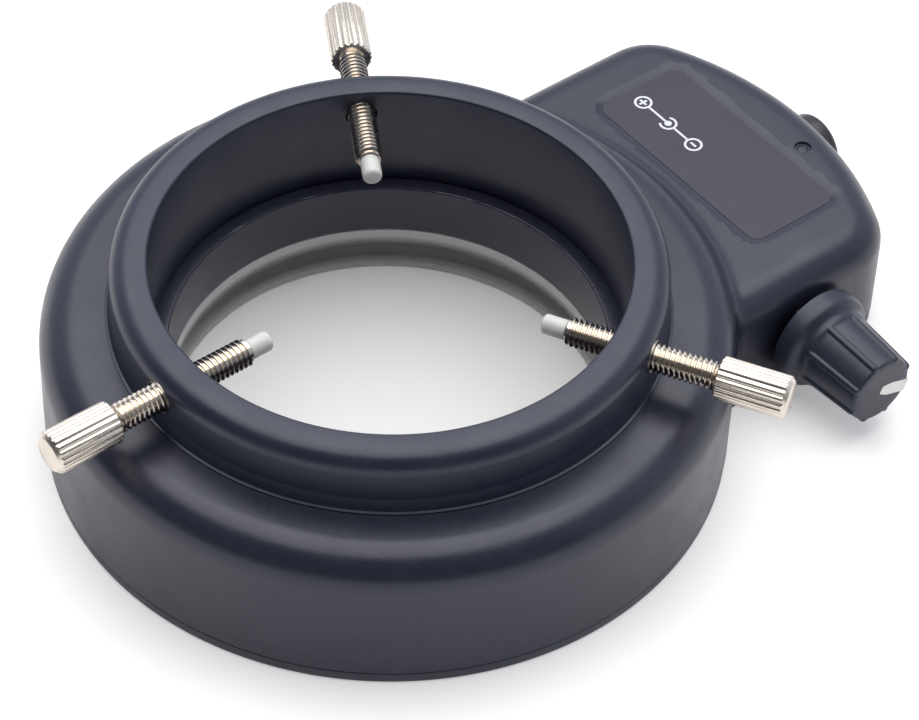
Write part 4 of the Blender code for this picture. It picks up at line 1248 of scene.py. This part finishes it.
def clear_plastic():
    """Clear moulded ring, hazy along its tube's foot and rim, with faint flow lines; the foot is
    also painted lighter, painted light from the floor.
    """
    n = Material("clear_plastic")
    height = n.height(n.place)
    level = n.calc("VectorMath", "MULTIPLY_ADD", n.place, (1, 1, 0), -CENTRE).outputs[0]
    off_axis = n.calc("VectorMath", "LENGTH", level).outputs["Value"]
    in_tube = n.span(off_axis, 1, 0, *TUBE_HAZE)
    foot = n.calc("Math", "MULTIPLY", n.span(height, 1, 0, *FOOT_HAZE_AND_LIGHT), in_tube).outputs[0]
    rim = n.span(height, 0, 1, *RIM_HAZE)
    # The tube's foot grows lighter towards the floor: painted light from the floor, on top of its
    # real haze.
    wall = n.blend(foot, (0.16, 0.16, 0.165), (0.62, 0.62, 0.62))
    rim_haze = n.span(rim, 0.28, 0.85, 0.0, 1.0)
    foot_haze = n.span(foot, 0.28, 0.55, 0.0, 1.0)
    return n.finish(
        Base_Color=n.blend(rim, wall, (0.60, 0.60, 0.60)),
        Alpha=n.calc("Math", "MAXIMUM", rim_haze, foot_haze).outputs[0],
        Roughness=n.span(n.noise(120.0, 4.0), 0.14, 0.26),
        Normal=n.bump(n.noise(240.0), 0.00002, 0.5),
        IOR=1.49,
    )


def lamp_epoxy():
    """Clear lamp bodies."""
    n = Material("lamp_epoxy")
    return n.finish(
        Base_Color=(0.97, 0.98, 1.0, 1),
        Transmission_Weight=1.0,
        IOR=1.5,
        Roughness=n.span(n.noise(300.0, 2.0), 0.02, 0.08),
    )


def board_mask():
    """Solder mask with faint copper tracks under it."""
    n = Material("board_mask")
    tracks = n.span(n.noise(900.0, 0.0), 0, 1, 0.49, 0.51)
    return n.finish(
        Base_Color=n.blend(tracks, (0.020, 0.150, 0.060), (0.035, 0.210, 0.085)),
        Normal=n.bump(tracks, 0.00003, 0.5),
        Roughness=0.35,
    )


def phosphor():
    """Yellow dot of a white lamp."""
    n = Material("phosphor")
    dot = n.clouded(2500.0, 3.0, (0.85, 0.72, 0.10), (0.70, 0.55, 0.06))
    return n.finish(Base_Color=dot, Roughness=0.6)


COOL = (0.90, 0.92, 1.0)
MAUVE = (0.87, 0.85, 0.94)
HOUSING = plastic("housing_plastic", (0.0145, 0.0162, 0.031), (0.018, 0.0197, 0.035), 0.31, COOL)
COLLAR = plastic("collar_plastic", (0.0135, 0.0165, 0.034), (0.017, 0.020, 0.038), 0.35, COOL)
# The cover's plastic is lighter than the housing's: painted reflection of the floor along its lower
# edge.
COVER = plastic("cover_plastic", (0.025, 0.027, 0.045), (0.030, 0.032, 0.050), 0.42, COOL)
# The knob's plastic is lighter than the housing's: painted light, for the light its skirt misses.
KNOB = plastic("knob_plastic", (0.019, 0.022, 0.038), (0.023, 0.026, 0.043), 0.38, COOL)
SOCKET = plastic("socket_plastic", (0.016, 0.016, 0.020), (0.021, 0.021, 0.026), 0.32)
CHIP = plastic("chip_plastic", (0.018, 0.018, 0.020), (0.026, 0.026, 0.028), 0.55)
LABEL = plastic("label_film", (0.020, 0.0195, 0.033), (0.023, 0.0225, 0.037), 0.38, MAUVE,
                grain=3000.0, relief=0.000005)
POINTER = plastic("pointer_plastic", (0.92, 0.91, 0.87), (0.88, 0.87, 0.83), 0.34,
                  speckle=0.02, grain=3000.0, relief=0.000003)
INKED = plastic("label_ink", (0.78, 0.78, 0.82), (0.68, 0.69, 0.72), 0.5,
                speckle=0.04, grain=3000.0, relief=0.000003)
NICKEL = metal("nickel_plate", (0.78, 0.705, 0.615), (0.68, 0.61, 0.53), 0.28)
THREAD_NICKEL = thread_metal()
# The inserts' plating is kept dark: painted shade in the collar's holes.
BRASS = metal("plated_brass", (0.34, 0.31, 0.27), (0.24, 0.22, 0.19), 0.35)
STEEL = metal("plated_steel", (0.62, 0.61, 0.59), (0.52, 0.51, 0.50), 0.32)
BLACKENED = metal("blackened_steel", (0.10, 0.10, 0.11), (0.07, 0.07, 0.08), 0.4)
COIL = metal("enamelled_wire", (0.55, 0.24, 0.10), (0.42, 0.17, 0.07), 0.35, (1, 1, 9))
NYLON = nylon()
CLEAR = clear_plastic()
EPOXY = lamp_epoxy()
BOARD = board_mask()
PHOSPHOR = phosphor()


# Pieces on their bodies
def dress(obj, material):
    """Give an object one material."""
    obj.data.materials.clear()
    obj.data.materials.append(material)


def put(obj, body, material, slot, *nodes):
    """Finish a piece: its material, its body and the solids it stands for; the slot is not used."""
    dress(obj, material)
    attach(obj, body)
    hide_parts(*nodes)


put(housing_shell(), "housing", HOUSING, "housing_grey", "upper_housing")
put(collar(), "housing", COLLAR, "housing_grey", "mounting_collar")
put(cover(), "housing", COVER, "cover_grey", "bottom_cover")
put(window(), "housing", CLEAR, "clear_window", "led_window")
put(board(), "housing", BOARD, "lamp_board", "led_board")
put(lamps(), "housing", EPOXY, "clear_window", "led_board")
put(lamp_cups(), "housing", STEEL, "pot_metal", "led_board")
put(lamp_dots(), "housing", PHOSPHOR, "lamp_board", "led_board")
put(label(), "housing", LABEL, "label_grey", "label_plate")
put(polarity_sign(), "housing", INKED, "pointer_white", "label_plate")
put(socket(), "housing", SOCKET, "socket_black", "power_socket")
put(socket_pin(), "housing", NICKEL, "nickel", "socket_pin")
put(knob(), "dimmer", KNOB, "knob_black", "knob")
put(pointer_form("pointer"), "dimmer", POINTER, "pointer_white", "knob_pointer")

for number, (degrees, reach) in enumerate(SCREWS, 1):
    screw_body, screw_node = f"clamp_screw_{number}", f"thumbscrew_{number}"
    bush = insert(f"insert_{number}", degrees)
    put(bush, "housing", BRASS, "insert_brass", f"threaded_insert_{number}")
    thread = screw_thread(f"screw_thread_{number}", degrees, reach)
    put(thread, screw_body, THREAD_NICKEL, "nickel", screw_node)
    head = screw_head(f"screw_head_{number}", degrees, reach)
    put(head, screw_body, NICKEL, "nickel", screw_node)
    tip = nylon_tip(f"tip_{number}", degrees, reach)
    put(tip, f"clamp_tip_{number}", NYLON, "nylon", f"nylon_tip_{number}")

for number, (x, y, _) in enumerate(BOSSES, 1):
    screw = cover_screw(f"cover_screw_{number}", x, y)
    put(screw, "housing", STEEL, "screw_steel", f"housing_screw_{number}")

# Solids inside the box that are shown as they are
for node, material in (
    ("potentiometer_body", BLACKENED), ("potentiometer_nut", BLACKENED),
    ("potentiometer_shaft", STEEL), ("socket_nut", STEEL), ("driver_board", BOARD),
    ("driver_coil", COIL), ("driver_capacitor", SOCKET), ("driver_chip", CHIP),
):
    dress(frame["nodes"][node], material)


# Stage, light and camera
def floor_white():
    """White that keeps the object's shadow and clears away from it; inside and near the ring it is
    painted darker, painted shade round the object.
    """
    n = Material("floor_white")
    away = n.calc("VectorMath", "DISTANCE", n.place, CENTRE).outputs["Value"]
    # Less lift inside and near the ring: painted shade.
    near = n.span(away, LIFT_INSIDE, LIFT_NEAR, *NEAR_SPAN)
    far = n.span(away, 0.0, LIFT_FAR - LIFT_NEAR, *FAR_SPAN)
    lift = n.calc("Math", "ADD", near, far).outputs[0]
    path = n.add("ShaderNodeLightPath").outputs
    bounced = n.calc("Math", "MAXIMUM", path["Is Glossy Ray"], path["Is Transmission Ray"])
    share = n.calc("Math", "MULTIPLY_ADD", bounced.outputs[0], LIFT_MIRRORED, path["Is Camera Ray"])
    return n.finish(
        Base_Color=(0.87, 0.86, 0.85, 1),
        Roughness=0.9,
        Specular_IOR_Level=0.1,
        Emission_Color=(0.99, 0.98, 0.98, 1),
        Emission_Strength=n.calc("Math", "MULTIPLY", share.outputs[0], lift).outputs[0],
    )


def floor():
    """Large round floor under the object."""
    rings = [circle(FLOOR_REACH, 0, FLOOR_STEPS), [(0, 0, 0)] * FLOOR_STEPS]
    obj = skinned("floor", rings, caps=False)
    dress(obj, floor_white())


def world():
    """Soft surround, bright behind the object and dimmer on the camera's side."""
    made = bpy.data.worlds.new("studio")
    bpy.context.scene.world = made
    made.use_nodes = True
    n = Tree(made.node_tree)
    place = n.add("ShaderNodeTexCoord").outputs["Generated"]
    along = n.calc("VectorMath", "DOT_PRODUCT", place, BEHIND).outputs["Value"]
    mirrored = n.add("ShaderNodeLightPath").outputs["Is Glossy Ray"]
    front = n.calc("Math", "MULTIPLY_ADD", mirrored, FRONT_MIRRORED - FRONT_LIGHT, FRONT_LIGHT)
    sweep = n.add("ShaderNodeMapRange", interpolation_type="SMOOTHSTEP")
    n.fill(sweep, Value=along, From_Min=-SWEEP, From_Max=SWEEP)
    n.fill(sweep, To_Min=front.outputs[0], To_Max=BACK_LIGHT)
    background = made.node_tree.nodes["Background"]
    n.fill(background, Strength=sweep.outputs["Result"], Color=(*SURROUND, 1))


def soft_box():
    """Large round lamp overhead."""
    light = bpy.data.lights.new("overhead", "AREA")
    light.shape = "DISK"
    light.size = SOFT_BOX_SIZE
    light.energy = SOFT_BOX_POWER
    light.color = SOFT_BOX_COLOR
    obj = link_object("overhead", light)
    obj.location = SOFT_BOX_PLACE
    obj.rotation_mode = "QUATERNION"
    obj.rotation_quaternion = (-Vector(SOFT_BOX_PLACE)).to_track_quat("-Z", "Y")


def camera():
    """Camera at the photograph's own viewing angle."""
    turn = turned(-CAMERA_BEARING, "Z") @ turned(90 - CAMERA_TILT, "X") @ turned(CAMERA_ROLL, "Z")
    spot = turn @ Vector((CAMERA_ACROSS, CAMERA_UPWARD, CAMERA_DISTANCE))
    data = bpy.data.cameras.new("camera")
    data.sensor_width = SENSOR
    data.lens = SENSOR * FOCAL_PIXELS / PHOTO_WIDTH
    data.clip_start = CLIP_NEAR
    data.clip_end = CLIP_FAR
    obj = link_object("camera", data)
    obj.matrix_world = Matrix.Translation(CENTRE + spot * MM) @ turn
    bpy.context.scene.camera = obj


floor()
world()
soft_box()
camera()
bpy.context.scene.view_settings.view_transform = "Standard"
